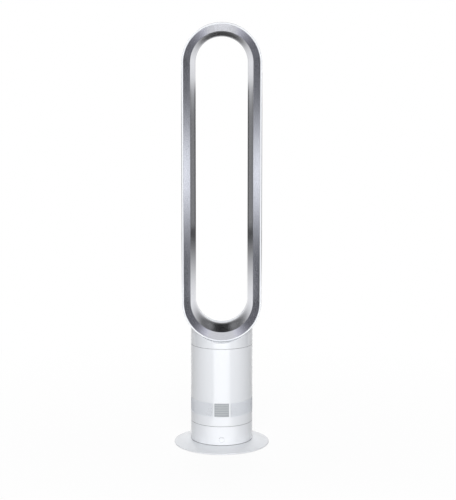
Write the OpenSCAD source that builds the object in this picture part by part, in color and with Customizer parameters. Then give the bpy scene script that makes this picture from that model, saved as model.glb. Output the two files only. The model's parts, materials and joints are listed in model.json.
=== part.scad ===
// Bladeless tower fan: a racetrack loop on a swinging column, on a round base.
// Millimetres. +Z is up, the front faces -Y, and the origin is the middle of the base on the floor.

/* [Base] */
// Diameter of the base
base_d = 228; // [200:1:260]
// Height of the base plate where the column stands on it
base_h = 12; // [10:0.5:16]
// Height of the rim's top edge
base_rim_h = 4.6; // [4:0.1:6]
// Gap between the floor and the underside
base_clear = 1.5; // [1.2:0.1:2]
// Wall of the base plate
base_wall = 2.6; // [2:0.1:3]
// Thickness of the base cover
cover_t = 2; // [1.8:0.1:2.4]
// Distance of the cover screws outside the column
cover_screw_out = 10; // [8:0.5:12]
// Diameter of a foot pad
foot_d = 16; // [12:1:20]
// Height of a foot pad
foot_h = 2.6; // [2.2:0.1:2.8]
// Distance of the foot pads' centres inside the cover's edge
foot_inset = 11; // [10:0.5:14]
// Width of the solid rim around the cover
rim_band = 10; // [9:0.5:12]
// Number of foot pads
foot_n = 6; // [4:1:8]

/* [Column] */
// Diameter of the column
column_d = 148; // [140:1:160]
// Wall of the column's casings
column_wall = 2.6; // [2:0.1:3.2]
// Height of the fixed lower casing, up to the swivel seam
lower_h = 46; // [44:1:60]
// Gap at the swivel seam
seam_gap = 0.6; // [0.4:0.1:1]
// Height of the skirt between the swivel seam and the inlet band
skirt_h = 22.5; // [20:0.5:30]
// Height of the inlet band
band_h = 34; // [30:1:40]
// Height of the plain body casing
casing_h = 130; // [126:1:160]
// Height from the upper seam to the lowest point of the loop
neck_rise = 12; // [10:0.5:20]
// Groove at the upper seam
seam_groove = 0.5; // [0.3:0.1:0.8]

/* [Inlet grille] */
// Wall of the grille
grille_t = 1.4; // [1:0.1:1.8]
// How far the grille sits behind the casings
grille_set = 0.2; // [0.1:0.1:0.5]
// Columns of holes around the band
grille_cols = 132; // [100:4:140]
// Rows of holes in each column
grille_rows = 3; // [2:1:3]
// Diameter of a hole
grille_hole_d = 2.7; // [2:0.1:2.8]

/* [Display] */
// Width of the display window
window_w = 34.4; // [30:0.2:38]
// Width of the bezel around it
bezel_w = 43; // [41:0.5:46]
// Lip of the bezel above and below the window
bezel_lip = 1; // [0.8:0.1:2]
// Thickness of the bezel and of the window
window_t = 1.6; // [1.2:0.1:2]
// Depth of the display board behind the front of the column
board_back = 10; // [9:0.5:12]

/* [Power button] */
// Diameter of the button
button_d = 12; // [10:0.5:14]
// Height of the button's centre above the floor
button_z = 26.2; // [24:0.2:30]
// Travel of the button
button_travel = 1.2; // [0.8:0.1:1.4]
// How far the button stands out of the casing
button_proud = 0.4; // [0:0.1:0.8]
// Gap around the button
button_gap = 0.3; // [0.2:0.05:0.5]

/* [Control board] */
// Width of the control board
board_w = 76; // [70:1:80]
// Depth of the control board
board_d = 52; // [46:1:54]
// Gap between the board and the base plate
board_lift = 5.5; // [5:0.1:6]

/* [Cable inlet] */
// Diameter of the gland's bore
cable_d = 6.4; // [5:0.1:7]
// Height of the cable inlet above the floor
cable_z = 24; // [22:0.5:28]

/* [Swivel] */
// Swing to each side in degrees
swing = 35; // [20:1:45]
// Module of the gear teeth
gear_module = 1; // [0.9:0.05:1.1]
// Teeth of a full internal ring, of which the turntable has a segment
ring_teeth = 96; // [94:2:98]
// Teeth of the drive pinion
pinion_teeth = 16; // [14:1:17]
// Face width of the teeth
gear_face = 5.8; // [5:0.1:6]
// Play between the teeth
backlash = 0.3; // [0.2:0.05:0.4]
// Radius of the spigot that the turntable turns on
spigot_r = 20; // [18:0.5:21]
// Bore of the spigot for the wires
wire_bore_r = 13; // [11:0.5:13]
// Thickness of the swivel deck
deck_t = 3; // [2.6:0.1:3.2]
// Thickness of the turntable floor
turntable_t = 3; // [2.6:0.1:4]

/* [Swing motor] */
// Diameter of the motor
swing_motor_d = 28; // [26:1:28]
// Height of the motor
swing_motor_h = 19; // [18:0.5:20]
// Offset of the output shaft from the motor's middle
shaft_offset = 8; // [7:0.5:8]
// Distance between the motor's two screws
swing_motor_pitch = 35; // [34:0.5:36]
// Diameter of the output shaft
output_d = 5; // [4:0.5:5]

/* [Blower] */
// Number of impeller blades
blade_n = 11; // [7:1:13]
// Thickness of a blade
blade_t = 1.4; // [1.2:0.1:1.8]
// Wrap of a blade around the hub in degrees
blade_wrap = 55; // [40:1:60]
// Bend radius of a blade in plan
blade_bend_r = 45; // [40:1:80]
// Inlet radius of the impeller
eye_r = 40; // [38:0.5:41]
// Outlet radius of the impeller
exit_r = 55; // [53:0.5:56]
// Height of the impeller
impeller_h = 32; // [28:1:34]
// Gap around the impeller
impeller_gap = 2; // [1:0.1:2.2]
// Radius of the duct above the impeller
duct_r = 61.5; // [61:0.1:62]
// Wall of the duct, bellmouth and bucket
duct_wall = 2.2; // [1.8:0.1:2.4]
// Radius of the motor bucket
bucket_r = 46; // [45:0.5:47]
// Number of diffuser vanes
vane_n = 13; // [9:1:17]
// Slope of the diffuser vanes from upright in degrees
vane_slope = 28; // [15:1:35]
// Radius of the stator
stator_r = 34; // [30:1:36]
// Radius of the rotor
rotor_r = 16; // [14:0.5:18]
// Air gap of the motor
air_gap = 0.6; // [0.5:0.1:1]
// Number of stator poles
pole_n = 9; // [6:3:12]
// Diameter of the impeller shaft
shaft_d = 6; // [5:0.5:6]
// Outer diameter of a motor bearing
bearing_d = 16; // [15:0.5:17]
// Height of a motor bearing
bearing_h = 5; // [4:0.5:6]
// Height of the cap over the motor bucket
cap_h = 28; // [24:1:32]

/* [Loop] */
// Width of the loop
loop_w = 190; // [180:1:200]
// Height of the loop
loop_h = 750.5; // [600:0.5:900]
// Depth of the loop from front to back
loop_depth = 110; // [105:1:120]
// Width across the white front rim
rim_w = 185.5; // [184:0.5:187]
// Width across the silver nozzle at the front
silver_w = 178.5; // [177:0.5:180]
// Width across the edge between flare and diffuser
lip_w = 146.8; // [144:0.2:149]
// Depth of that edge behind the front
lip_depth = 14; // [12:0.5:16]
// Width across the throat
throat_w = 123.4; // [120:0.2:126]
// Depth of the throat behind the front
throat_depth = 73; // [68:0.5:76]
// Wall of the loop shell
loop_wall = 2.4; // [2:0.1:2.6]
// Wall of the nozzle
nozzle_wall = 2.2; // [1.8:0.1:2.4]
// Width of the air slot
slot_gap = 1.3; // [1:0.1:2]
// Length of the air slot
slot_len = 5; // [4:0.5:6]
// Distance of the slot's mouth from the back of the loop
slot_back = 17; // [16:0.5:19]
// Slot spacers along each straight side
spacer_n = 7; // [5:1:9]
// Slot spacers around each end
end_spacer_n = 5; // [3:1:7]
// Width of the duct opening between neck and loop
port_w = 108; // [100:1:110]
// Depth of the duct opening
port_d = 70; // [64:1:72]

/* [Fits] */
// Gap between pieces that are joined
fit = 0.1; // [0.05:0.05:0.2]
// Gap of a running fit
run = 0.05; // [0.03:0.01:0.08]

/* [Hidden] */
$fn = 96;

white = "white";
pale = "gainsboro";
dark = "dimgray";
rubber = "darkslategray";
steel = "silver";

// Levels of the base and the column
column_r = column_d / 2;
casing_in_r = column_r - column_wall;
seam_z = base_h + lower_h;
band_z = seam_z + skirt_h;
casing_z = band_z + band_h;
neck_z = casing_z + casing_h;
loop_z = neck_z + neck_rise;
cover_top = base_clear + cover_t;
floor_z = base_h - base_wall;
cover_r = base_d / 2 - rim_band;
foot_ring_r = cover_r - foot_inset;
cover_screw_r = column_r + cover_screw_out;
brim = base_d / 2 - column_r;
inner_r = casing_in_r - 0.2;

// Screws
screw_d = 3;
head_d = 5.6;
head_h = 2;
cross_l = 4;
cross_w = 0.8;
pilot_play = 0.05;
cover_sink = 1;
cover_screw_l = 4.6;
cover_screw_top = base_clear + cover_sink + cover_screw_l;
boss_r = 4.2;
column_boss_r = casing_in_r - boss_r + 0.4;
column_boss_h = 14;
deck_screw_r = casing_in_r - 3.4;

// Power switch and its board
switch_board_w = 22;
switch_board_h = 24;
switch_board_y = 60.5;
switch_front_y = -switch_board_y - 5.1;

// Swivel levels, from the seam down
turntable_z = seam_z + 1;
glide_h = 1.9;
glide_z = turntable_z - run - glide_h;
deck_z = turntable_z - 11;
deck_top = deck_z + deck_t;
ledge_h = 3;
ledge_w = 7;
gear_z = turntable_z - 1 - gear_face;
glide_w = 6;
ring_pitch_r = gear_module * ring_teeth / 2;
pinion_pitch_r = gear_module * pinion_teeth / 2;
pinion_y = ring_pitch_r - pinion_pitch_r;
pressure_angle = 25;
ring_back = 3;
ring_root_r = ring_pitch_r + 1.25 * gear_module;
ring_tip_r = ring_pitch_r - 0.85 * gear_module;
ring_out_r = ring_root_r + ring_back;
glide_in_r = ring_out_r + 3.5;
retainer_t = 2.6;
retainer_z = deck_z - 0.4 - retainer_t;
retainer_r = spigot_r + 5;
retaining_screw_r = (spigot_r + wire_bore_r) / 2;

// Posts that carry the blower
post_r = 4;
post_ring_r = 61.5;
post_angles = [45, 135, 225, 315];
bell_z = casing_z + 2;
bell_t = 2.5;
bell_top = bell_z + bell_t;

// Blower levels
throat_z = bell_z + 13.5;
impeller_z = throat_z + 1;
impeller_top = impeller_z + impeller_h;
housing_z = bell_top + 8;
housing_flange = 2;
diffuser_z = impeller_top + 12;
diffuser_h = 22;
bucket_z = impeller_top + 7;
bucket_rim_z = diffuser_z + diffuser_h;
housing_top = bucket_rim_z + 22;
stator_z = bucket_z + 9;
stator_h = 13;
motor_cover_z = stator_z + stator_h + 7;
isolator_r = 5;
isolator_ring_r = 62.5;
bell_end_r = eye_r + 1.5;
seal_in_r = bell_end_r + bell_t + fit;
housing_in_r = seal_in_r + 2.6;
shroud_t = 1.6;
hub_start_r = 12;
hub_end_r = exit_r - 10;

// Loop
loop_r = loop_w / 2;
front_y = -loop_depth / 2;
back_y = loop_depth / 2;
low_z = loop_z + loop_r;
high_z = loop_z + loop_h - loop_r;
rim_r = rim_w / 2;
silver_r = silver_w / 2;
lip_r = lip_w / 2;
throat_r = throat_w / 2;
lip_y = front_y + lip_depth;
throat_y = front_y + throat_depth;
slot_y = back_y - slot_back;
inner_lip_r = throat_r + 1.3;
tail_r = inner_lip_r + loop_wall + slot_gap;

// Points of a cubic curve after its first point
function curve(a, b, c, d, n) = [for (i = [1 : n]) let (t = i / n)
  a * pow(1 - t, 3) + 3 * b * t * pow(1 - t, 2) + 3 * c * t * t * (1 - t) + d * pow(t, 3)];
// Unit vector to the right of the way from a to b
function right_of(a, b) = let (d = b - a) [d.y, -d.x] / norm(d);
// The same path moved to its right by t
function shifted(p, t) = [for (i = [0 : len(p) - 1]) let (
  m = right_of(p[max(i - 1, 0)], p[max(i, 1)]),
  n = right_of(p[min(i, len(p) - 2)], p[min(i + 1, len(p) - 1)]))
  p[i] + t * (m + n) / (1 + m * n)];
function reversed(p) = [for (i = [len(p) - 1 : -1 : 0]) p[i]];
// A wall of thickness t to the right of a path
function wall(p, t) = concat(p, reversed(shifted(p, t)));

// Involute teeth: half the angle that a tooth of thickness t at the pitch circle takes at radius r
function involute(a) = tan(a) * 180 / PI - a;
function base_circle(teeth) = gear_module * teeth / 2 * cos(pressure_angle);
function tooth_half(r, teeth, t) = t / (gear_module * teeth) * 180 / PI
  + involute(pressure_angle) - involute(acos(min(1, base_circle(teeth) / r)));
// Flank points of one tooth, from the foot on one side over the tip to the foot on the other
function tooth(middle, radii, teeth, t) = concat(
  [for (r = radii) let (a = middle - tooth_half(r, teeth, t)) r * [cos(a), sin(a)]],
  [for (r = reversed(radii)) let (a = middle + tooth_half(r, teeth, t)) r * [cos(a), sin(a)]]);

module ring(r_in, r_out, z, h) {
  rotate_extrude() translate([r_in, z]) square([r_out - r_in, h]);
}

module post(x, y, z, r, h, bore) {
  translate([x, y, z]) difference() {
    cylinder(r = r, h = h, $fn = 32);
    translate([0, 0, -1]) cylinder(r = bore, h = h + 2, $fn = 32);
  }
}

// A cross-head screw whose head sits below z = 0, pointing up or down
module screw(length, up = true, head = head_h) {
  mirror([0, 0, up ? 0 : 1]) {
    cylinder(r = screw_d / 2 - pilot_play, h = length, $fn = 24);
    translate([0, 0, -head]) difference() {
      cylinder(r = head_d / 2, h = head, $fn = 32);
      translate([-cross_l / 2, -cross_w / 2, -1]) cube([cross_l, cross_w, 1 + head / 2]);
      translate([-cross_w / 2, -cross_l / 2, -1]) cube([cross_w, cross_l, 1 + head / 2]);
    }
  }
}

module around(n, r, start = 0) {
  for (i = [0 : n - 1]) rotate([0, 0, start + i * 360 / n]) translate([r, 0, 0]) children();
}

module foot_pads() {
  color(rubber) around(foot_n, foot_ring_r, 30) rotate_extrude($fn = 48)
    polygon([[0, 0], [foot_d / 2 - 0.8, 0], [foot_d / 2, 0.8], [foot_d / 2, foot_h], [0, foot_h]]);
}

module base_cover() {
  color(dark) difference() {
    translate([0, 0, base_clear]) cylinder(r = cover_r, h = cover_t);
    around(foot_n, foot_ring_r, 30) translate([0, 0, base_clear - 1])
      cylinder(r = foot_d / 2 + fit, h = foot_h - base_clear + 1, $fn = 48);
    around(foot_n, cover_screw_r) translate([0, 0, base_clear - 1])
      cylinder(r = screw_d / 2 + fit, h = cover_t + 2, $fn = 24);
    around(foot_n, cover_screw_r) translate([0, 0, base_clear - 1])
      cylinder(r = head_d / 2 + fit, h = 1 + cover_sink, $fn = 32);
  }
}

module cover_screws() {
  color(steel) around(foot_n, cover_screw_r) translate([0, 0, base_clear + cover_sink])
    screw(cover_screw_l, head = cover_sink - fit);
}

module base_plate() {
  rim = [base_d / 2, base_clear + 0.8];
  shoulder = [base_d / 2 - 1.4, base_rim_h];
  edge = [cover_r + fit, cover_top + 0.4];
  top = concat(
    [[edge.x, base_clear], [base_d / 2 - 0.8, base_clear], rim],
    curve(rim, rim + [0, 1.2], shoulder + [1.1, -0.3], shoulder, 4),
    curve(shoulder, shoulder + [-0.35 * brim, 3], [column_r + 0.35 * brim, base_h], [column_r - 2, base_h], 10));
  under = curve([column_r - 2, floor_z], [column_r + 0.3 * brim, floor_z], edge + [-0.3 * brim, 2.6], edge, 8);
  boss_bite = 0.4;
  boss_top = max(cover_screw_top + 1.2, lookup(cover_screw_r + boss_r - 0.6, under) + boss_bite);
  color(white) difference() {
    union() {
      rotate_extrude() polygon(concat(top, [[0, base_h], [0, floor_z], [column_r - 2, floor_z]], under));
      ring(column_r - 3, column_r, cover_top, floor_z - cover_top + 0.5);
      around(foot_n, cover_screw_r) translate([0, 0, cover_top])
        cylinder(r = boss_r - 0.6, h = boss_top - cover_top, $fn = 32);
      for (x = [-1, 1]) for (y = [-1, 1])
        post(x * (board_w / 2 - 8), y * (board_d / 2 - 6), base_h - 0.5, 3, board_lift + 0.5, 1.2);
    }
    around(foot_n, cover_screw_r) translate([0, 0, cover_top - 1])
      cylinder(r = screw_d / 2, h = cover_screw_top + 0.3 - cover_top + 1, $fn = 24);
    for (a = post_angles) rotate([0, 0, a]) translate([column_boss_r, 0, floor_z - 1])
      cylinder(r = screw_d / 2 + fit, h = base_wall + 2, $fn = 24);
  }
}

module column_screws() {
  color(steel) for (a = post_angles) rotate([0, 0, a]) translate([column_boss_r, 0, floor_z])
    screw(base_wall + column_boss_h - 3);
}

module lower_casing() {
  top = seam_z - seam_gap;
  rail = 2.5;
  rail_bite = 0.4;
  rail_z = base_h + fit;
  color(white) difference() {
    union() {
      ring(casing_in_r, column_r, base_h, top - base_h);
      ring(casing_in_r - ledge_w, casing_in_r + 0.5, deck_z - ledge_h, ledge_h);
      for (a = post_angles) rotate([0, 0, a])
        post(column_boss_r, 0, base_h, boss_r, column_boss_h, screw_d / 2);
      for (s = [-1, 1]) translate([s * (switch_board_w / 2 + fit + rail / 2) - rail / 2, -casing_in_r - rail_bite, rail_z])
        cube([rail, casing_in_r + rail_bite - switch_board_y, switch_board_h]);
    }
    translate([0, -column_r + 8, button_z]) rotate([90, 0, 0])
      cylinder(r = button_d / 2 + button_gap, h = 12, $fn = 64);
    translate([0, column_r - 8, cable_z]) rotate([-90, 0, 0]) cylinder(r = cable_d / 2 + 2.4, h = 12, $fn = 48);
    around(4, deck_screw_r, 22.5) translate([0, 0, deck_z - ledge_h - 1])
      cylinder(r = screw_d / 2, h = ledge_h + 2, $fn = 24);
  }
}

module power_button() {
  face = -column_r - button_proud;
  flange_y = -casing_in_r + 0.9;
  flange_t = 1.4;
  stem_y = switch_front_y - button_travel - 0.2;
  color(white) translate([0, 0, button_z]) rotate([-90, 0, 0]) rotate_extrude($fn = 64) polygon([
    [0, face + 0.3], [button_d / 2 - 1.2, face], [button_d / 2 - 0.4, face], [button_d / 2, face + 0.4],
    [button_d / 2, flange_y], [button_d / 2 + 1.4, flange_y], [button_d / 2 + 1.4, flange_y + flange_t],
    [2.5, flange_y + flange_t], [2.5, stem_y], [0, stem_y]]);
}

module power_switch() {
  color("darkgreen") translate([-switch_board_w / 2, -switch_board_y, base_h])
    cube([switch_board_w, 1.6, switch_board_h]);
  color(dark) translate([-3, -switch_board_y - 3.6, button_z - 3]) cube([6, 3.7, 6]);
  color(dark) translate([0, switch_front_y, button_z]) rotate([-90, 0, 0])
    cylinder(r = 1.7, h = 2, $fn = 24);
}

module control_board() {
  board_z = base_h + board_lift;
  left = -board_w / 2;
  front = -board_d / 2;
  color("darkgreen") translate([left, front, board_z]) cube([board_w, board_d, 1.6]);
  color("darkorange") translate([left + 6, front + 14, board_z + 1.5]) cube([22, 20, 16]);
  color("navy") for (x = [40, 53]) translate([left + x, front + 16, board_z + 1.5]) cylinder(r = 5, h = 17, $fn = 32);
  color(dark) translate([left + 38, front + 32, board_z + 1.5]) cube([12, 12, 2.2]);
  color(pale) translate([left + 60, front + 30, board_z + 1.5]) cube([10, 16, 8]);
}

module cable_gland() {
  r = cable_d / 2;
  sleeve_r = r + 2.2;
  inside = casing_in_r - 0.7;
  outside = column_r + 0.1;
  color(rubber) translate([0, 0, cable_z]) rotate([-90, 0, 0]) rotate_extrude($fn = 48) polygon([
    [r, inside - 2], [sleeve_r + 1.6, inside - 2], [sleeve_r + 1.6, inside], [sleeve_r, inside],
    [sleeve_r, outside], [sleeve_r + 2, outside], [sleeve_r + 1.2, outside + 2], [r + 1, outside + 5],
    [r, outside + 5]]);
}

module swivel_deck() {
  motor_y = pinion_y + shaft_offset;
  color(dark) difference() {
    union() {
      ring(spigot_r, inner_r, deck_z, deck_t);
      ring(spigot_r, spigot_r + 3.5, deck_z, deck_t + 4);
      ring(glide_in_r - 1, glide_in_r + glide_w + 1, deck_z, glide_z - deck_z);
    }
    translate([0, pinion_y, deck_z - 1]) cylinder(r = output_d / 2 + 3, h = deck_t + 2, $fn = 48);
    for (s = [-1, 1]) translate([s * swing_motor_pitch / 2, motor_y, deck_z - 1])
      cylinder(r = screw_d / 2, h = deck_t + 2, $fn = 24);
    around(4, deck_screw_r, 22.5) translate([0, 0, deck_z - 1])
      cylinder(r = screw_d / 2 + fit, h = deck_t + 2, $fn = 24);
  }
}

module deck_screws() {
  color(steel) around(4, deck_screw_r, 22.5) translate([0, 0, deck_top]) screw(deck_t + ledge_h, false);
}

module glide_ring() {
  color("ivory") ring(glide_in_r, glide_in_r + glide_w, glide_z, glide_h);
}

module swing_motor() {
  motor_y = pinion_y + shaft_offset;
  color(steel) difference() {
    union() {
      translate([0, motor_y, deck_z - swing_motor_h]) cylinder(r = swing_motor_d / 2, h = swing_motor_h, $fn = 64);
      translate([-swing_motor_pitch / 2, motor_y - 3.5, deck_z - 1]) cube([swing_motor_pitch, 7, 1]);
      for (s = [-1, 1]) translate([s * swing_motor_pitch / 2, motor_y, deck_z - 1]) cylinder(r = 3.5, h = 1, $fn = 32);
      translate([0, pinion_y, deck_z - 1]) cylinder(r = output_d / 2 + 2, h = 2.5, $fn = 48);
      translate([-7.5, motor_y + 6, deck_z - swing_motor_h]) cube([15, 11, swing_motor_h - 4]);
    }
    translate([0, pinion_y, deck_z - 8]) cylinder(r = output_d / 2 + run, h = 12, $fn = 32);
    for (s = [-1, 1]) translate([s * swing_motor_pitch / 2, motor_y, deck_z - 2])
      cylinder(r = screw_d / 2 + fit, h = 3, $fn = 24);
  }
}

module swing_motor_screws() {
  color(steel) for (s = [-1, 1])
    translate([s * swing_motor_pitch / 2, pinion_y + shaft_offset, deck_z - 1]) screw(1 + deck_t);
}

module output_shaft() {
  color(steel) translate([0, pinion_y, deck_z - 7.5])
    cylinder(r = output_d / 2, h = gear_z + gear_face + 0.5 - deck_z + 7.5, $fn = 32);
}

module drive_pinion() {
  thickness = (PI * gear_module - backlash) / 2;
  pitch_r = pinion_pitch_r;
  radii = [for (k = [-1.15, -0.6, -0.1, 0.4, 0.85]) pitch_r + k * gear_module];
  color("ivory") translate([0, pinion_y, gear_z]) linear_extrude(height = gear_face) difference() {
    polygon([for (i = [0 : pinion_teeth - 1]) each tooth(90 + i * 360 / pinion_teeth, radii, pinion_teeth, thickness)]);
    circle(r = output_d / 2, $fn = 32);
  }
}

// The toothed segment that hangs under the turntable: its spaces are shaped like the teeth
// of a gear that would fill the ring
module gear_segment() {
  step = 360 / ring_teeth;
  half = ceil((swing + 8) / step);
  space = (PI * gear_module + backlash) / 2;
  radii = [ring_tip_r, (ring_tip_r + ring_root_r) / 2, ring_root_r];
  edge = (half + 0.5) * step;
  arc = [for (i = [8 : -1 : -8]) let (a = 90 + i / 8 * edge) ring_out_r * [cos(a), sin(a)]];
  linear_extrude(height = turntable_z - gear_z + 0.5) polygon(concat(
    [ring_tip_r * [cos(90 - edge), sin(90 - edge)]],
    [for (i = [-half : half]) each tooth(90 + i * step, radii, ring_teeth, space)],
    [ring_tip_r * [cos(90 + edge), sin(90 + edge)]], arc));
}

module turntable() {
  color(dark) difference() {
    union() {
      ring(wire_bore_r, inner_r, turntable_z, turntable_t);
      ring(wire_bore_r, spigot_r - run, retainer_z + retainer_t, turntable_z - retainer_z - retainer_t + 0.5);
      translate([0, 0, gear_z]) gear_segment();
      for (a = post_angles) rotate([0, 0, a])
        post(post_ring_r, 0, turntable_z + 1, post_r, bell_z - turntable_z - 1, screw_d / 2);
    }
    around(3, retaining_screw_r, 30) translate([0, 0, retainer_z])
      cylinder(r = screw_d / 2, h = 12, $fn = 24);
  }
}

module retaining_ring() {
  color(dark) difference() {
    ring(wire_bore_r, retainer_r, retainer_z, retainer_t);
    around(3, retaining_screw_r, 30) translate([0, 0, retainer_z - 1])
      cylinder(r = screw_d / 2 + fit, h = retainer_t + 2, $fn = 24);
  }
}

module retaining_screws() {
  color(steel) around(3, retaining_screw_r, 30) translate([0, 0, retainer_z]) screw(retainer_t + 8);
}

module skirt() {
  color(white) union() {
    ring(casing_in_r, column_r, seam_z, skirt_h);
    ring(casing_in_r - 3, casing_in_r + 0.5, seam_z, turntable_z - seam_z);
  }
}

module inlet_grille() {
  r = column_r - grille_set;
  step = 360 / grille_cols;
  pitch = band_h / (grille_rows + 0.5) * 0.9;
  first = (band_h - (grille_rows - 0.5) * pitch) / 2;
  color(pale) difference() {
    translate([0, 0, band_z]) linear_extrude(height = band_h) difference() {
      polygon([for (i = [0 : grille_cols - 1]) let (a = (i + 0.5) * step) r * [cos(a), sin(a)]]);
      polygon([for (i = [0 : grille_cols - 1]) let (a = (i + 0.5) * step) (r - grille_t) * [cos(a), sin(a)]]);
    }
    for (i = [0 : grille_cols - 1]) for (j = [0 : grille_rows - 1]) rotate([0, 0, i * step])
      translate([r - grille_t - 1, 0, band_z + first + (i % 2 / 2 + j) * pitch])
        rotate([0, 90, 0]) cylinder(r = grille_hole_d / 2, h = grille_t + 3, $fn = 16);
    translate([-bezel_w / 2, -column_r - 1, band_z - 1]) cube([bezel_w, column_r / 2, band_h + 2]);
  }
}

module display_bezel() {
  r = column_r - 0.05;
  color(white) intersection() {
    difference() {
      ring(r - window_t - 1.4, r, band_z, band_h);
      translate([-window_w / 2, -column_r - 1, band_z + bezel_lip])
        cube([window_w, 20, band_h - 2 * bezel_lip]);
    }
    translate([-bezel_w / 2 + fit, -column_r - 1, band_z]) cube([bezel_w - 2 * fit, 20, band_h]);
  }
}

module display_window() {
  color("darkgray") intersection() {
    ring(column_r - window_t - 0.35, column_r - 0.35, band_z + bezel_lip + fit, band_h - 2 * (bezel_lip + fit));
    translate([-window_w / 2 + fit, -column_r - 1, band_z]) cube([window_w - 2 * fit, 20, band_h]);
  }
}

module display_board() {
  y = -column_r + board_back;
  color("darkgreen") difference() {
    translate([-bezel_w / 2 + 2, y, turntable_z + turntable_t]) cube([bezel_w - 4, 1.6, casing_z - turntable_z - turntable_t]);
    translate([0, y - 1, band_z + band_h - 7]) rotate([-90, 0, 0]) cylinder(r = 1.1, h = 4, $fn = 24);
  }
  color("black") translate([-window_w / 2 + 2, y - 3, band_z + 4]) cube([window_w - 4, 3.1, band_h - 15]);
}

module infrared_receiver() {
  y = -column_r + board_back;
  z = band_z + band_h - 7;
  color("black") union() {
    translate([-2.6, y - 2.6, z - 2.8]) cube([5.2, 2.6, 5.6]);
    translate([0, y - 2.6, z]) rotate([90, 0, 0]) cylinder(r = 1.8, h = 1.2, $fn = 24);
    translate([0, y - 0.5, z]) rotate([-90, 0, 0]) cylinder(r = 1, h = 2, $fn = 24);
  }
}

module inlet_foam() {
  color("dimgray") difference() {
    translate([0, 0, turntable_z + turntable_t]) rotate_extrude() polygon([
      [wire_bore_r + 1, 0], [post_ring_r - post_r - 4, 0], [post_ring_r - post_r - 4, 10],
      [wire_bore_r + 14, 20], [wire_bore_r + 1, 20]]);
    translate([-bezel_w / 2, -column_r, turntable_z]) cube([bezel_w, board_back + 6, 40]);
  }
}

module body_casing() {
  color(white) difference() {
    union() {
      ring(casing_in_r, column_r, casing_z, casing_h - seam_groove);
      ring(casing_in_r - 4.8, casing_in_r + 0.5, casing_z, bell_z - casing_z);
    }
    translate([-bezel_w / 2, -column_r + column_wall + 0.5, casing_z - 1])
      cube([bezel_w, 6.5, bell_z - casing_z + 1]);
  }
}

module inlet_bellmouth() {
  start = [eye_r + 17, bell_z];
  end = [bell_end_r, throat_z];
  lip = concat([[inner_r, bell_z], start],
    curve(start, start + [-9, 0], end + [0, -10], end + [0, -4], 8), [end]);
  color(dark) difference() {
    rotate_extrude() polygon(wall(lip, bell_t));
    for (a = post_angles) rotate([0, 0, a]) translate([post_ring_r, 0, bell_z - 1])
      cylinder(r = screw_d / 2 + fit, h = bell_t + 2, $fn = 24);
  }
}

module bellmouth_screws() {
  color(steel) for (a = post_angles) rotate([0, 0, a]) translate([post_ring_r, 0, bell_top])
    screw(bell_t + 10, false);
}

module isolators() {
  color(rubber) around(4, isolator_ring_r) translate([0, 0, bell_top]) rotate_extrude($fn = 48) polygon([
    [0, 0], [isolator_r, 0], [isolator_r, 2], [isolator_r - 1.6, 3.2], [isolator_r - 1.6, 4.8],
    [isolator_r, 6], [isolator_r, housing_z - bell_top], [0, housing_z - bell_top]]);
}

module inlet_seal() {
  color(rubber) ring(seal_in_r, housing_in_r - fit, housing_z, throat_z - housing_z);
}

// The impeller runs between a hub cone and a shroud, both given by a height share s from 0 to 1
function shroud_r(s) = eye_r + (exit_r - eye_r) * (1 - cos(90 * s));
function shroud_z(s) = impeller_z + (impeller_h - 6) * s;
function hub_r(s) = hub_start_r + (hub_end_r - hub_start_r) * pow(s, 1.25);
function hub_z(s) = impeller_z + 4 + (impeller_h - 4) * s;

module impeller_housing() {
  wide = exit_r + shroud_t + impeller_gap + 0.6;
  inside = concat(
    [[housing_in_r, housing_z], [housing_in_r, impeller_z + 2]],
    curve([housing_in_r, impeller_z + 2], [housing_in_r + 1, impeller_z + 12], [wide, impeller_top - 14],
      [wide, impeller_top - 4], 6),
    [[wide, diffuser_z], [duct_r, diffuser_z], [duct_r, housing_top]]);
  color(dark) union() {
    rotate_extrude() polygon(concat(inside, [[duct_r + duct_wall, housing_top], [duct_r + duct_wall, diffuser_z - 3],
      [wide + duct_wall, diffuser_z - 6], [wide + duct_wall, impeller_top - 4],
      [housing_in_r + 4, housing_z + housing_flange + 2], [housing_in_r + 4, housing_z]]));
    ring(housing_in_r + 1, isolator_ring_r + isolator_r, housing_z, housing_flange);
  }
}

// Plan of one backward-curved blade: an arc from the hub's foot to the rim
module blade_plan() {
  foot = [hub_start_r - 2, 0];
  rim = (exit_r + 2) * [cos(blade_wrap), -sin(blade_wrap)];
  middle = (foot + rim) / 2;
  chord = rim - foot;
  half = norm(chord) / 2;
  sag = sqrt(blade_bend_r * blade_bend_r - half * half);
  centre = middle - [-chord.y, chord.x] / norm(chord) * sag;
  translate(centre) rotate([0, 0, atan2(chord.y, chord.x)]) intersection() {
    difference() {
      circle(r = blade_bend_r + blade_t / 2, $fn = 128);
      circle(r = blade_bend_r - blade_t / 2, $fn = 128);
    }
    translate([-half, sag - blade_t]) square([2 * half, blade_bend_r]);
  }
}

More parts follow.
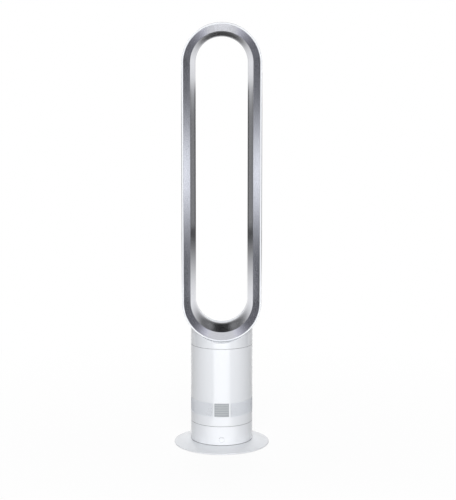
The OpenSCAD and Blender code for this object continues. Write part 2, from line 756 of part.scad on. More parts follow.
module impeller() {
  steps = 5;
  bite = 0.8;
  hub = [for (i = [0 : steps]) [hub_r(i / steps), hub_z(i / steps)]];
  shroud = [for (i = [0 : steps]) [shroud_r(i / steps), shroud_z(i / steps)]];
  nose = impeller_z + 1;
  color(steel) union() {
    difference() {
      rotate_extrude() polygon(concat([[0, nose], [hub_start_r - 4, nose]], hub,
        [[hub_end_r, hub_z(1) + 0.6], [hub_end_r - 2, hub_z(1) + 0.6]],
        [for (i = [steps - 1 : -1 : 2]) [hub_r(i / steps) - 2, hub_z(i / steps) + 1.6]],
        [[hub_start_r, hub_z(0.4)], [hub_start_r, hub_z(1)], [0, hub_z(1)]]));
      translate([0, 0, nose + 3]) cylinder(r = shaft_d / 2, h = impeller_h + 5, $fn = 48);
    }
    rotate_extrude() polygon(wall(shroud, shroud_t));
    intersection() {
      translate([0, 0, impeller_z]) linear_extrude(height = impeller_h)
        for (i = [0 : blade_n - 1]) rotate([0, 0, i * 360 / blade_n]) blade_plan();
      rotate_extrude() polygon(concat(shifted(hub, -bite), reversed(shifted(shroud, bite))));
    }
  }
}

module impeller_shaft() {
  color(steel) translate([0, 0, impeller_z + 4])
    cylinder(r = shaft_d / 2, h = motor_cover_z + 1 - impeller_z - 4, $fn = 48);
}

module motor_rotor() {
  color(dark) difference() {
    ring(shaft_d / 2, rotor_r - air_gap, stator_z + 0.5, stator_h - 1);
    around(4, rotor_r - 5, 45) translate([-1.5, -5, stator_z]) cube([3, 10, stator_h]);
  }
}

module motor_stator() {
  slot_in = rotor_r + 2.4;
  yoke = stator_r - 4;
  color("peru") difference() {
    ring(rotor_r, stator_r, stator_z, stator_h);
    for (i = [0 : pole_n - 1]) rotate([0, 0, i * 360 / pole_n]) {
      translate([0, 0, stator_z - 1]) linear_extrude(height = stator_h + 2)
        polygon([[slot_in, -1.6], [yoke, -4.6], [yoke, 4.6], [slot_in, 1.6]]);
      translate([rotor_r - 1, -0.7, stator_z - 1]) cube([4, 1.4, stator_h + 2]);
    }
  }
}

module motor_bearings() {
  color(steel) for (z = [bucket_z + duct_wall, motor_cover_z - bearing_h])
    ring(shaft_d / 2 + run, bearing_d / 2, z, bearing_h);
}

module bearing_seat(z, h) {
  ring(bearing_d / 2, bearing_d / 2 + duct_wall, z, h);
}

module motor_cover() {
  color(dark) difference() {
    union() {
      ring(shaft_d / 2 + 1.5, bucket_r - duct_wall - fit, motor_cover_z, 2);
      bearing_seat(motor_cover_z - bearing_h, bearing_h + 0.5);
    }
    around(6, 24, 30) translate([0, 0, motor_cover_z - 1]) cylinder(r = 5, h = 4, $fn = 32);
  }
}

module motor_bucket() {
  inside = bucket_r - duct_wall;
  color(dark) difference() {
    union() {
      ring(shaft_d / 2 + 1.5, bucket_r, bucket_z, duct_wall);
      ring(inside, bucket_r, bucket_z, bucket_rim_z + 2 - bucket_z);
      ring(inside, bucket_r + duct_wall, bucket_rim_z, 2);
      bearing_seat(bucket_z + duct_wall - 0.5, bearing_h + 0.5);
      difference() {
        ring(stator_r - 1.5, inside + 0.5, bucket_z + 1, stator_z + stator_h - bucket_z - 1);
        translate([0, 0, stator_z]) cylinder(r = stator_r, h = stator_h + 1);
      }
      ring(inside - 2, inside + 0.5, stator_z + stator_h - 1, motor_cover_z - stator_z - stator_h + 1);
    }
    around(6, 22) translate([0, 0, bucket_z - 1]) cylinder(r = 4, h = duct_wall + 2, $fn = 32);
  }
}

module diffuser() {
  hub_in = bucket_r + fit;
  hub_out = bucket_r + duct_wall;
  outer_in = duct_r - fit - 1.8;
  vane_t = 1.6;
  color(pale) union() {
    ring(hub_in, hub_out, diffuser_z, diffuser_h);
    ring(outer_in, duct_r - fit, diffuser_z, diffuser_h);
    intersection() {
      around(vane_n, (hub_out + outer_in) / 2) translate([0, 0, diffuser_z + diffuser_h / 2])
        rotate([vane_slope, 0, 0]) cube([20, vane_t, 2 * diffuser_h], center = true);
      ring(hub_out - 0.4, outer_in + 0.4, diffuser_z + 1, diffuser_h - 2);
    }
  }
}

module motor_board() {
  z = motor_cover_z + 2;
  color("darkgreen") ring(8, bucket_r - duct_wall - 3, z, 1.6);
  color(dark) translate([14, -6, z + 1.5]) cube([12, 12, 2]);
  color("navy") translate([-20, 8, z + 1.5]) cylinder(r = 4, h = 9, $fn = 32);
}

module bucket_cap() {
  z = bucket_rim_z + 2;
  foot = [bucket_r + duct_wall, z];
  tip = [10, z + cap_h];
  skin = concat([foot], curve(foot, foot + [0, cap_h / 2], tip + [18, 0], tip, 8), [[0, tip.y]]);
  under = shifted(skin, -duct_wall);
  color(dark) rotate_extrude() polygon(concat(skin, [[0, tip.y - duct_wall]],
    reversed([for (p = under) if (p.x > 0.1) [p.x, max(p.y, z)]])));
}

module silencer_foam() {
  color("dimgray") ring(duct_r + duct_wall + fit, casing_in_r - 1.2, diffuser_z, housing_top - 8 - diffuser_z);
}

module outlet_seal() {
  r = duct_r + duct_wall + fit;
  color(rubber) rotate_extrude() polygon([[r, housing_top - 6], [r + 2, housing_top - 6],
    [casing_in_r - fit, housing_top - 3], [casing_in_r - fit, housing_top - 2],
    [r + 2, housing_top - 3], [r, housing_top - 3]]);
}

module loop_cylinder(r) {
  translate([0, 0, low_z]) rotate([90, 0, 0]) cylinder(r = r, h = 4 * column_r, center = true, $fn = 160);
}

module port(margin) {
  translate([-port_w / 2 - margin, -port_d / 2 - margin, neck_z])
    cube([port_w + 2 * margin, port_d + 2 * margin, loop_r / 2]);
}

module neck() {
  spigot_h = 7;
  color(white) difference() {
    union() {
      difference() {
        translate([0, 0, neck_z]) cylinder(r = column_r, h = low_z - neck_z);
        difference() {
          translate([0, 0, neck_z - 1]) cylinder(r = casing_in_r, h = loop_r);
          loop_cylinder(loop_r + fit + column_wall);
        }
      }
      ring(casing_in_r - fit - 2.2, casing_in_r - fit, neck_z - spigot_h, spigot_h + 1);
      ring(casing_in_r - fit - 2.2, casing_in_r + 0.5, neck_z, 2);
    }
    loop_cylinder(loop_r + fit);
    port(fit);
  }
}

// Section of the loop: distance from its centre line, and depth
rim_round = 1;
rim_path = concat([[silver_r + fit, front_y], [rim_r - rim_round, front_y]],
  curve([rim_r - rim_round, front_y], [rim_r - 0.4, front_y], [rim_r, front_y + 0.4],
    [rim_r, front_y + rim_round], 3));
side_path = concat(
  curve([rim_r, front_y + 1], [rim_r + 1.4, front_y + 9], [loop_r, front_y + 22], [loop_r, -6], 5),
  curve([loop_r, -6], [loop_r, back_y - 21], [loop_r - 5, back_y], [loop_r - 17, back_y], 8),
  curve([loop_r - 17, back_y], [inner_lip_r + 5, back_y], [inner_lip_r, back_y - 3], [inner_lip_r, back_y - 9], 6),
  [[inner_lip_r, slot_y]]);
shell_section = concat(rim_path, side_path, reversed(shifted(side_path, -loop_wall)),
  [[rim_r - loop_wall, front_y + loop_wall], [silver_r + fit, front_y + loop_wall]]);
air_path = concat([[silver_r, front_y], [lip_r, lip_y]],
  curve([lip_r, lip_y], [lip_r - 5.9, lip_y + 30], [throat_r, throat_y - 16], [throat_r, throat_y], 8),
  curve([throat_r, throat_y], [throat_r, throat_y + 9], [tail_r, slot_y - 8], [tail_r, slot_y], 6),
  [[tail_r, slot_y + slot_len]]);

nozzle_section = let (
    flare = air_path[1] - air_path[0],
    inside = shifted(air_path, nozzle_wall),
    corner = air_path[0] + [0, nozzle_wall * norm(flare) / abs(flare.x)])
  concat(air_path, reversed([for (i = [0 : len(inside) - 1]) i == 0 ? corner : inside[i]]));

// Bends a section around the lower or the upper arch of the racetrack
module arch(upper) {
  translate([0, 0, upper ? high_z : low_z]) rotate([-90, 0, 0]) rotate([0, 0, upper ? 180 : 0])
    rotate_extrude(angle = 180) children();
}

// Runs a section up both straight sides of the racetrack
module sides() {
  for (side = [0, 1]) mirror([side, 0, 0])
    translate([0, 0, low_z + fit]) linear_extrude(height = high_z - low_z - 2 * fit) children();
}

module loop_shell() {
  collar = 2;
  color(white) difference() {
    union() {
      arch(false) polygon(shell_section);
      sides() polygon(shell_section);
      difference() {
        translate([0, 0, neck_rise - 6]) port(0);
        loop_cylinder(loop_r - 1);
      }
    }
    translate([0, 0, -1]) port(-collar);
  }
}

module loop_crown() {
  color(white) arch(true) polygon(shell_section);
}

module nozzle() {
  color(steel) {
    arch(false) polygon(nozzle_section);
    sides() polygon(nozzle_section);
  }
}

module nozzle_crown() {
  color(steel) arch(true) polygon(nozzle_section);
}

module slot_spacers() {
  r = inner_lip_r + loop_wall + run;
  size = [slot_gap - 2 * run, slot_len - 1, 2];
  gap = (high_z - low_z) / spacer_n;
  color(white) {
    for (side = [0, 1]) mirror([side, 0, 0]) for (i = [0 : spacer_n - 1])
      translate([r, slot_y + 0.5, low_z + (i + 0.5) * gap - 1]) cube(size);
    for (end = [0, 1]) translate([0, 0, end == 0 ? low_z : high_z]) for (i = [0 : end_spacer_n - 1])
      rotate([0, (end == 0 ? 0 : 180) + (i + 0.5) * 180 / end_spacer_n, 0])
        translate([r, slot_y + 0.5, -1]) cube(size);
  }
}

// Splits the air between the two sides of the loop, and seats between the walls of the port
module flow_divider() {
  width = 30;
  tip = 2;
  r = lip_r + nozzle_wall + 2;
  depth = port_d - 4 - 2 * fit;
  top = [for (i = [-4 : 4]) let (x = i / 4 * width) [x, low_z - sqrt(r * r - x * x)]];
  start = top[8] - [0, tip];
  side = concat([start], curve(start, start + [-12, -5], [4, neck_z + 22], [0, neck_z + 6.5], 6));
  color(pale) translate([0, depth / 2, 0]) rotate([90, 0, 0]) linear_extrude(height = depth)
    polygon(reversed(concat(top, side, [for (i = [5 : -1 : 0]) [-side[i].x, side[i].y]])));
}

foot_pads();
base_cover();
cover_screws();
base_plate();
column_screws();
lower_casing();
power_button();
power_switch();
control_board();
cable_gland();
swivel_deck();
deck_screws();
glide_ring();
swing_motor();
swing_motor_screws();
output_shaft();
drive_pinion();
turntable();
retaining_ring();
retaining_screws();
skirt();
inlet_grille();
display_bezel();
display_window();
display_board();
infrared_receiver();
inlet_foam();
body_casing();
inlet_bellmouth();
bellmouth_screws();
isolators();
inlet_seal();
impeller_housing();
impeller();
impeller_shaft();
motor_rotor();
motor_stator();
motor_bearings();
motor_cover();
motor_bucket();
diffuser();
motor_board();
bucket_cap();
silencer_foam();
outlet_seal();
neck();
loop_shell();
loop_crown();
nozzle();
nozzle_crown();
slot_spacers();
flow_divider();
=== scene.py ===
"""Bladeless tower fan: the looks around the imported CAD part.

Z is up, the front faces -Y, and the origin is the middle of the base on the floor.
Sizes are written in millimetres, as in the part's source, and become metres in the meshes.
"""

import json
import math

import bmesh
import bpy
from mathutils import Matrix, Vector


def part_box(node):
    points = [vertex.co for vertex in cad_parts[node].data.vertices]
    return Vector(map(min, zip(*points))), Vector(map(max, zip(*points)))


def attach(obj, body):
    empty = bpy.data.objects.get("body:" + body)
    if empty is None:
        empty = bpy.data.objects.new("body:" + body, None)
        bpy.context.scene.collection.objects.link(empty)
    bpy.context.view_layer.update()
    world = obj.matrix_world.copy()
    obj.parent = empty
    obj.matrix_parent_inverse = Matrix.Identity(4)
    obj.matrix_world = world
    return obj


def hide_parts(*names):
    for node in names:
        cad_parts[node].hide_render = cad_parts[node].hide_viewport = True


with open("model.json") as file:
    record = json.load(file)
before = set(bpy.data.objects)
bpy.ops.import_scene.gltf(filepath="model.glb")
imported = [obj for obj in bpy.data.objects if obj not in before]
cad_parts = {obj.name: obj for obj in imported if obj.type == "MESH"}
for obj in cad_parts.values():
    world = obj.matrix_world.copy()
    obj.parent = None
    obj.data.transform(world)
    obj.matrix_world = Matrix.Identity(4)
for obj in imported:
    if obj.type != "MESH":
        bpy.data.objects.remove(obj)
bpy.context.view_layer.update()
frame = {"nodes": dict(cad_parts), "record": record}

MM = 0.001

# Base and column
BASE_R = 114.0
BASE_TOP = 12.0
BASE_FLOOR = 9.4
BASE_CLEAR = 1.5
BASE_SHOULDER_Z = 4.6
COVER_R = 104.0
COVER_LIP_Z = 3.9
COLUMN_R = 74.0
WALL = 2.6
LOWER_TOP = 57.4
SKIRT_Z = 58.0
BAND_Z = 80.5
CASING_Z = 114.5
CASING_TOP = 244.0
NECK_Z = 244.5
EDGE = 0.12
REBATE_DEPTH = 2.3
FOOT_REBATE = 0.9
NECK_TOP_ROUND = 0.8
# How far a ring draws back on each side of a joint, so that the dark ring of painted shade in it shows
JOINT_SHOWS = 0.1
SHADE_RING_R = 73.7
SHADE_RING_ROUND = 0.1
# Gaps of the dark rubber ring that paints a joint's shade: to the wall of its rebate, to the rings
# around it, and to the head that turns over it
SHADE_RING_WALL_CLEAR = 0.05
SHADE_RING_CLEAR = 0.01
SWING_CLEAR = 0.06

# Inlet band
BAND_R = 73.8
BAND_SKIN = 1.4
BAND_COLUMNS = 200
BAND_ROWS = 18
BAND_RIM = 1.0
HOLE_R = 0.56
BEZEL_W = 43.0
# How far the band goes on behind each side of the bezel
BAND_BEHIND_BEZEL = 0.8

# Button and cable gland
BUTTON_R = 6.0
BUTTON_Z = 26.2
BUTTON_FACE = 74.4
BUTTON_GAP = 0.3
# The gap in front, and how far it reaches into the wall
BUTTON_FRONT_GAP = 0.7
BUTTON_FRONT_DEPTH = 2.2
BUTTON_FLANGE_R = 7.4
BUTTON_FLANGE_FROM = 69.1
BUTTON_FLANGE_TO = 70.5
BUTTON_STEM_R = 2.5
BUTTON_STEM_FROM = 67.0
CABLE_R = 3.2
CABLE_Z = 24.0
GLAND_BORE_R = 5.6
# Both ends of a bore through the lower casing, as distances from the column's axis
BORE_FROM = 66
BORE_TO = 78

# Loop
LOOP_R = 95.0
FRONT_Y = -55.0
BACK_Y = 55.0
# Depth over which the shell narrows to its front rim
NARROWS_OVER = 22.0
LOW_Z = 351.5
HIGH_Z = 912.0
RIM_R = 92.75
SILVER_R = 89.25
LIP_R = 73.4
LIP_Y = -41.0
THROAT_R = 61.7
THROAT_Y = 18.0
INNER_LIP_R = 63.0
TAIL_R = 66.7
SLOT_Y = 38.0
SLOT_LEN = 5.0
SHELL_WALL = 2.4
NOZZLE_WALL = 2.2
FIT = 0.1

# Meshes: steps once round each turned shape
ROUND_STEPS = 256
SHADE_RING_STEPS = 192
BUTTON_STEPS = 96
GLAND_STEPS = 64
CABLE_BORE_STEPS = 48
# How far from the ends of a long side its added points are, and the sharpest smooth angle
BRACE = 0.5
SMOOTH_BELOW = 32
# Points round the loop's path, and further ones in each of its straight sides
LOOP_POINTS = 168
SIDE_STEPS = 20

# Photograph: its frame, and what is read from it, in pixels
PHOTO_W = 456
PHOTO_H = 500
HORIZON_Y = 61.5
AXIS_X = 221.7
FOCAL_PX = 1318.0

# Camera: place in metres, shift as a share of the frame's height, sensor in millimetres
CAMERA_DISTANCE = 3.11
CAMERA_HEIGHT = 0.9155
CAMERA_SHIFT = -0.07
SENSOR = 36.0

# Stage, in metres. The side cards mirror in the flare: a band of light among fins
CARD_X = 0.37
CARD_FRONT = -0.36
CARD_REAR = 0.1
CARD_HALF = 0.44
CARD_BAND_Z = 0.614
CARD_BAND_SPREAD = 0.097
CARD_BAND_GAIN = 1.64
CARD_DARK = 0.08
FINS = 85
FIN_DEPTH = 0.028
# Half the gap between a fin's top sheet and its underside sheet
FIN_SHEET = 0.0002
FIN_DIM_REACH = 0.2
FIN_PALE_REACH = 0.66
FIN_DIM = 0.18
FIN_TOP_PALE = 0.92
FIN_UNDERSIDE_PALE = 1.35

# The back card mirrors in the nozzle's inner band; pairs are where a change starts and ends
BACK_CARD_Y = 0.3
BACK_CARD_HALF = 0.3
BACK_CARD_FOOT = 0.06
BACK_CARD_TOP = 1.2
BACK_BLACK = 0.01
BACK_GREY = 0.32
BACK_GREY_X = (0.068, 0.088)
BACK_GREY_Z = (0.468, 0.488)
BACK_UPPER_Z = (0.829, 0.879)
BACK_UPPER_WHITE = 0.9
BACK_OUTER_X = (0.085, 0.1)
BACK_OUTER_Z = (0.76, 0.93)
BACK_OUTER_WHITE = 0.9
BACK_LOWER_Z = (0.277, 0.492)
BACK_LOWER_WHITE = 1.13

# The front card mirrors in the column as an upright gleam
FRONT_CARD_Y = -0.36
FRONT_CARD_HALF = 0.215
FRONT_CARD_SOFT = 0.07
FRONT_CARD_FOOT = 0.002
FRONT_CARD_TOP = 0.34
FRONT_CARD_GAIN = 3.6
STRIPS = 46
STRIP_STEP = 0.005
STRIP_H = 0.00115

FLOOR_R = 9.0
FLOOR_STEPS = 48
# White share of the floor beside the object, and where that share starts to grow and is whole
FLOOR_SHADE = 0.93
FLOOR_SHADE_REACH = (0.2, 1.2)
WORLD_LIGHT = 0.16
# Name, place, height of the aim on the object's axis, size, and share of full white
LAMPS = (
    ("key", (0.0, -2.9, 1.3), 0.4, 1.6, 0.86),
    ("rim left", (-1.7, 1.0, 1.2), 0.3, 1.2, 0.1),
    ("rim right", (1.7, 1.0, 1.2), 0.3, 1.2, 0.07),
    ("behind", (0.0, 2.8, 0.9), 0.5, 1.6, 0.4),
    ("back", (0.0, 1.7, 2.3), 0.2, 1.2, 0.22),
)


def cubic(a, b, c, d, steps):
    """Points of a cubic curve after its first point."""
    points = []
    for i in range(1, steps + 1):
        t = i / steps
        s = 1 - t
        weights = (s**3, 3 * t * s**2, 3 * t**2 * s, t**3)
        points.append(tuple(sum(w * p[k] for w, p in zip(weights, (a, b, c, d))) for k in (0, 1)))
    return points


def shifted(path, distance):
    """The same path moved to its right by a distance."""
    moved = []
    for i, point in enumerate(path):
        sides = []
        for a, b in ((max(i - 1, 0), max(i, 1)), (min(i, len(path) - 2), min(i + 1, len(path) - 1))):
            step = Vector(path[b]) - Vector(path[a])
            sides.append(Vector((step.y, -step.x)).normalized())
        m, n = sides
        moved.append(tuple(Vector(point) + distance * (m + n) / (1 + m.dot(n))))
    return moved


def rounded(corners, steps=5):
    """A closed outline whose corners (x, y, radius) are rounded."""
    points = []
    count = len(corners)
    for i, (x, y, radius) in enumerate(corners):
        here = Vector((x, y))
        if radius <= 0:
            points.append((x, y))
            continue
        back = (Vector(corners[i - 1][:2]) - here).normalized()
        on = (Vector(corners[(i + 1) % count][:2]) - here).normalized()
        reach = radius / math.tan(max(back.angle(on), 0.05) / 2)
        start, end = here + back * reach, here + on * reach
        for k in range(steps + 1):
            t = k / steps
            p = (1 - t) ** 2 * start + 2 * t * (1 - t) * here + t * t * end
            points.append((p.x, p.y))
    return points


def braced(outline):
    """A closed outline with points close to both ends of its long sides, so that they shade flat."""
    points = []
    for i, point in enumerate(outline):
        here = Vector(point)
        way = Vector(outline[(i + 1) % len(outline)]) - here
        points.append(tuple(here))
        if way.length > 4 * BRACE:
            step = way.normalized() * BRACE
            points += [tuple(here + step), tuple(here + way - step)]
    return points


def link(mesh, name):
    """A new object of a mesh, in the scene."""
    piece = bpy.data.objects.new(name, mesh)
    bpy.context.scene.collection.objects.link(piece)
    return piece


def smooth(mesh):
    """Shades a mesh smooth, but for its sharp edges."""
    for face in mesh.polygons:
        face.use_smooth = True
    mesh.set_sharp_from_angle(angle=math.radians(SMOOTH_BELOW))


def outward(mesh):
    """Merges doubles, drops faces with no area and turns every face outwards."""
    work = bmesh.new()
    work.from_mesh(mesh)
    bmesh.ops.remove_doubles(work, verts=work.verts, dist=1e-6)
    bmesh.ops.dissolve_degenerate(work, edges=work.edges, dist=1e-7)
    bmesh.ops.recalc_face_normals(work, faces=work.faces)
    work.to_mesh(mesh)
    work.free()


def hoop_faces(steps, count):
    """Faces between closed outlines of so many points, set side by side all the way round."""
    faces = []
    for i in range(steps):
        j = (i + 1) % steps
        for k in range(count):
            m = (k + 1) % count
            faces.append((i * count + k, j * count + k, j * count + m, i * count + m))
    return faces


def turned(name, outline, steps, place=None):
    """A closed outline of (radius, height) turned about Z, then put in place by a matrix."""
    outline = braced(outline)
    vertices = []
    for i in range(steps):
        a = 2 * math.pi * (i + 0.5) / steps
        vertices += [(r * MM * math.cos(a), r * MM * math.sin(a), z * MM) for r, z in outline]
    mesh = bpy.data.meshes.new(name)
    mesh.from_pydata(vertices, [], hoop_faces(steps, len(outline)))
    if place is not None:
        mesh.transform(place)
    outward(mesh)
    smooth(mesh)
    return link(mesh, name)


def evaluated(piece, name):
    """A plain mesh object of what the modifiers make of a piece; the piece itself is removed."""
    bpy.context.view_layer.update()
    graph = bpy.context.evaluated_depsgraph_get()
    mesh = bpy.data.meshes.new_from_object(piece.evaluated_get(graph))
    bpy.data.objects.remove(piece)
    mesh.name = name
    return link(mesh, name)


def cut(piece, cutters):
    """A plain mesh object of a piece with the cutters cut out of it; all of those are removed."""
    name = piece.name
    piece.name = name + " uncut"
    for cutter in cutters:
        trim = piece.modifiers.new("hole", "BOOLEAN")
        trim.operation = "DIFFERENCE"
        trim.solver = "EXACT"
        trim.object = cutter
    made = evaluated(piece, name)
    for cutter in cutters:
        bpy.data.objects.remove(cutter)
    smooth(made.data)
    return made


def along_y(z, back=False):
    """Turns Z into the way out of the column at the front, or at the back, at height z."""
    turn = Matrix.Rotation(math.radians(-90 if back else 90), 4, "X")
    return Matrix.Translation((0, 0, z * MM)) @ turn


def add(tree, kind, sockets=None, **settings):
    """One node with its settings; a socket takes a value, an output, or a node for its first output."""
    made = tree.nodes.new(kind)
    for key, value in settings.items():
        setattr(made, key, value)
    for key, value in (sockets or {}).items():
        if isinstance(value, bpy.types.Node):
            value = value.outputs[0]
        if isinstance(value, bpy.types.NodeSocket):
            tree.links.new(value, made.inputs[key])
        else:
            made.inputs[key].default_value = value
    return made


def new_tree(name, inputs):
    """A geometry tree with named inputs, and its two end nodes."""
    tree = bpy.data.node_groups.new(name, "GeometryNodeTree")
    tree.interface.new_socket("Shape", in_out="INPUT", socket_type="NodeSocketGeometry")
    for label, kind in inputs:
        tree.interface.new_socket(label, in_out="INPUT", socket_type="NodeSocket" + kind)
    tree.interface.new_socket("Piece", in_out="OUTPUT", socket_type="NodeSocketGeometry")
    return tree, add(tree, "NodeGroupInput").outputs


def finish_tree(tree, shape, material):
    """Ends a geometry tree: real meshes with their material."""
    whole = add(tree, "GeometryNodeRealizeInstances", {"Geometry": shape})
    painted = add(tree, "GeometryNodeSetMaterial", {"Geometry": whole, "Material": material})
    add(tree, "NodeGroupOutput", {"Piece": painted})


def grown(name, mesh, tree, values):
    """What a tree makes of a mesh, as a plain mesh object."""
    seed = link(mesh, name + " seed")
    grower = seed.modifiers.new("Grow", "NODES")
    grower.node_group = tree
    for item in tree.interface.items_tree:
        if item.item_type == "SOCKET" and item.in_out == "INPUT" and item.name in values:
            grower[item.identifier] = values[item.name]
    made = evaluated(seed, name)
    outward(made.data)
    smooth(made.data)
    return made


def racetrack_tree():
    """Bends a section, drawn in X and Y from the path outwards, round the loop's racetrack."""
    tree, given = new_tree(
        "Racetrack sweep",
        [
            ("Path radius", "Float"),
            ("Lower centre", "Float"),
            ("Upper centre", "Float"),
            ("Path points", "Int"),
            ("Side steps", "Int"),
            ("Material", "Material"),
        ],
    )
    ring = add(
        tree,
        "GeometryNodeCurvePrimitiveCircle",
        {"Resolution": given["Path points"], "Radius": given["Path radius"]},
    )
    # Stood up and turned back by half a step, the ring has no point at its middle height
    half_step = add(tree, "ShaderNodeMath", {0: math.pi, 1: given["Path points"]}, operation="DIVIDE")
    stand = add(tree, "ShaderNodeCombineXYZ", {"X": math.pi / 2, "Y": half_step})
    stood = add(
        tree, "GeometryNodeTransform", {"Geometry": ring.outputs["Curve"], "Rotation": stand}
    )
    place = add(tree, "ShaderNodeSeparateXYZ", {0: add(tree, "GeometryNodeInputPosition")})
    is_upper = add(
        tree, "FunctionNodeCompare", {0: place.outputs["Z"], 1: 0.0}, operation="GREATER_THAN"
    )
    centre = add(
        tree,
        "GeometryNodeSwitch",
        {"Switch": is_upper, "False": given["Lower centre"], "True": given["Upper centre"]},
        input_type="FLOAT",
    )
    lift = add(tree, "ShaderNodeCombineXYZ", {"Z": centre})
    placed = add(tree, "GeometryNodeSetPosition", {"Geometry": stood, "Offset": lift})
    half = add(tree, "ShaderNodeMath", {0: given["Path points"], 1: 2.0}, operation="DIVIDE")
    index = add(tree, "GeometryNodeInputIndex")
    turn = add(tree, "ShaderNodeMath", {0: index, 1: half}, operation="MODULO")
    is_side = add(tree, "FunctionNodeCompare", {0: turn, 1: 0.5}, operation="LESS_THAN")
    cuts = add(
        tree,
        "GeometryNodeSwitch",
        {"Switch": is_side, "False": 0, "True": given["Side steps"]},
        input_type="INT",
    )
    path = add(tree, "GeometryNodeSubdivideCurve", {"Curve": placed, "Cuts": cuts})
    way = add(tree, "GeometryNodeInputTangent")
    out = add(
        tree, "ShaderNodeVectorMath", {0: (0.0, 1.0, 0.0), 1: way}, operation="CROSS_PRODUCT"
    )
    set_up = add(tree, "GeometryNodeSetCurveNormal", {"Curve": path, "Normal": out}, mode="FREE")
    section = add(tree, "GeometryNodeMeshToCurve", {"Mesh": given["Shape"]})
    swept = add(tree, "GeometryNodeCurveToMesh", {"Curve": set_up, "Profile Curve": section})
    finish_tree(tree, swept, given["Material"])
    return tree


def perforated_tree():
    """Repeats a tile with one hole round the column, leaving out the place of the bezel."""
    tree, given = new_tree(
        "Perforated band",
        [
            ("Radius", "Float"),
            ("First row", "Float"),
            ("Row height", "Float"),
            ("Columns", "Int"),
            ("Rows", "Int"),
            ("Bezel half width", "Float"),
            ("Material", "Material"),
        ],
    )
    count = add(
        tree, "ShaderNodeMath", {0: given["Columns"], 1: given["Rows"]}, operation="MULTIPLY"
    )
    points = add(tree, "GeometryNodePoints", {"Count": count})
    index = add(tree, "GeometryNodeInputIndex")
    share = add(tree, "ShaderNodeMath", {0: index, 1: given["Columns"]}, operation="DIVIDE")
    row = add(tree, "ShaderNodeMath", {0: share}, operation="FLOOR")
    column = add(tree, "ShaderNodeMath", {0: share}, operation="FRACT")
    angle = add(tree, "ShaderNodeMath", {0: column, 1: 2 * math.pi}, operation="MULTIPLY")
    height = add(
        tree,
        "ShaderNodeMath",
        {0: row, 1: given["Row height"], 2: given["First row"]},
        operation="MULTIPLY_ADD",
    )
    start = add(tree, "ShaderNodeCombineXYZ", {"X": given["Radius"], "Z": height})
    spot = add(
        tree, "ShaderNodeVectorRotate", {"Vector": start, "Angle": angle}, rotation_type="Z_AXIS"
    )
    placed = add(tree, "GeometryNodeSetPosition", {"Geometry": points, "Position": spot})
    parts = add(tree, "ShaderNodeSeparateXYZ", {0: spot})
    aside = add(tree, "ShaderNodeMath", {0: parts.outputs["X"]}, operation="ABSOLUTE")
    is_beside = add(
        tree,
        "FunctionNodeCompare",
        {0: aside, 1: given["Bezel half width"]},
        operation="GREATER_THAN",
    )
    is_rear = add(
        tree, "FunctionNodeCompare", {0: parts.outputs["Y"], 1: 0.0}, operation="GREATER_THAN"
    )
    is_open = add(tree, "FunctionNodeBooleanMath", {0: is_beside, 1: is_rear}, operation="OR")
    turn = add(tree, "ShaderNodeCombineXYZ", {"Z": angle})
    tiles = add(
        tree,
        "GeometryNodeInstanceOnPoints",
        {"Points": placed, "Selection": is_open, "Instance": given["Shape"], "Rotation": turn},
    )
    finish_tree(tree, tiles, given["Material"])
    return tree


def srgb(code):
    """Hex sRGB as linear RGBA."""
    channels = [int(code[i : i + 2], 16) / 255 for i in (0, 2, 4)]
    return (*[c / 12.92 if c <= 0.04045 else ((c + 0.055) / 1.055) ** 2.4 for c in channels], 1.0)


def per_metre(size_mm):
    """Scale of a texture whose features are this many millimetres apart."""
    return 1000.0 / size_mm


# A wave texture's scale for one band a metre
WAVE = 2 * math.pi / 20


def new_material(name, **shader_values):
    """A material with a Principled shader, and its Object coordinates."""
    material = bpy.data.materials.new(name)
    material.use_nodes = True
    tree = material.node_tree
    tree.nodes.clear()
    shader = add(tree, "ShaderNodeBsdfPrincipled")
    for key, value in shader_values.items():
        shader.inputs[key.replace("_", " ")].default_value = value
    add(tree, "ShaderNodeOutputMaterial", {"Surface": shader})
    place = add(tree, "ShaderNodeTexCoord").outputs["Object"]
    return material, tree, shader, place


def dress(tree, shader, tint, shades, gloss, shine, height, depth_mm, strength):
    """Wires a skin: a pattern between two colours, one between two roughnesses, one as relief."""
    # A Mix node for colours takes them at its sockets 6 and 7
    colour = add(
        tree, "ShaderNodeMix", {0: tint, 6: srgb(shades[0]), 7: srgb(shades[1])}, data_type="RGBA"
    )
    rough = add(tree, "ShaderNodeMapRange", {"Value": gloss, "To Min": shine[0], "To Max": shine[1]})
    bump = add(
        tree, "ShaderNodeBump", {"Height": height, "Distance": depth_mm * MM, "Strength": strength}
    )
    tree.links.new(colour.outputs[2], shader.inputs["Base Color"])
    tree.links.new(rough.outputs[0], shader.inputs["Roughness"])
    tree.links.new(bump.outputs[0], shader.inputs["Normal"])


def gloss_white_abs():
    """ABS from a polished mould: an even cool white whose skin has a faint orange peel."""
    material, tree, shader, place = new_material("gloss white ABS", IOR=1.53)
    drift = add(tree, "ShaderNodeTexNoise", {"Vector": place, "Scale": per_metre(90.0)})
    haze = add(tree, "ShaderNodeTexNoise", {"Vector": place, "Scale": per_metre(14.0)})
    peel = add(tree, "ShaderNodeTexNoise", {"Vector": place, "Scale": per_metre(3.0)})
    dress(tree, shader, drift, ("ECEFF4", "F0F2F6"), haze, (0.06, 0.10), peel, 0.01, 0.12)
    return material


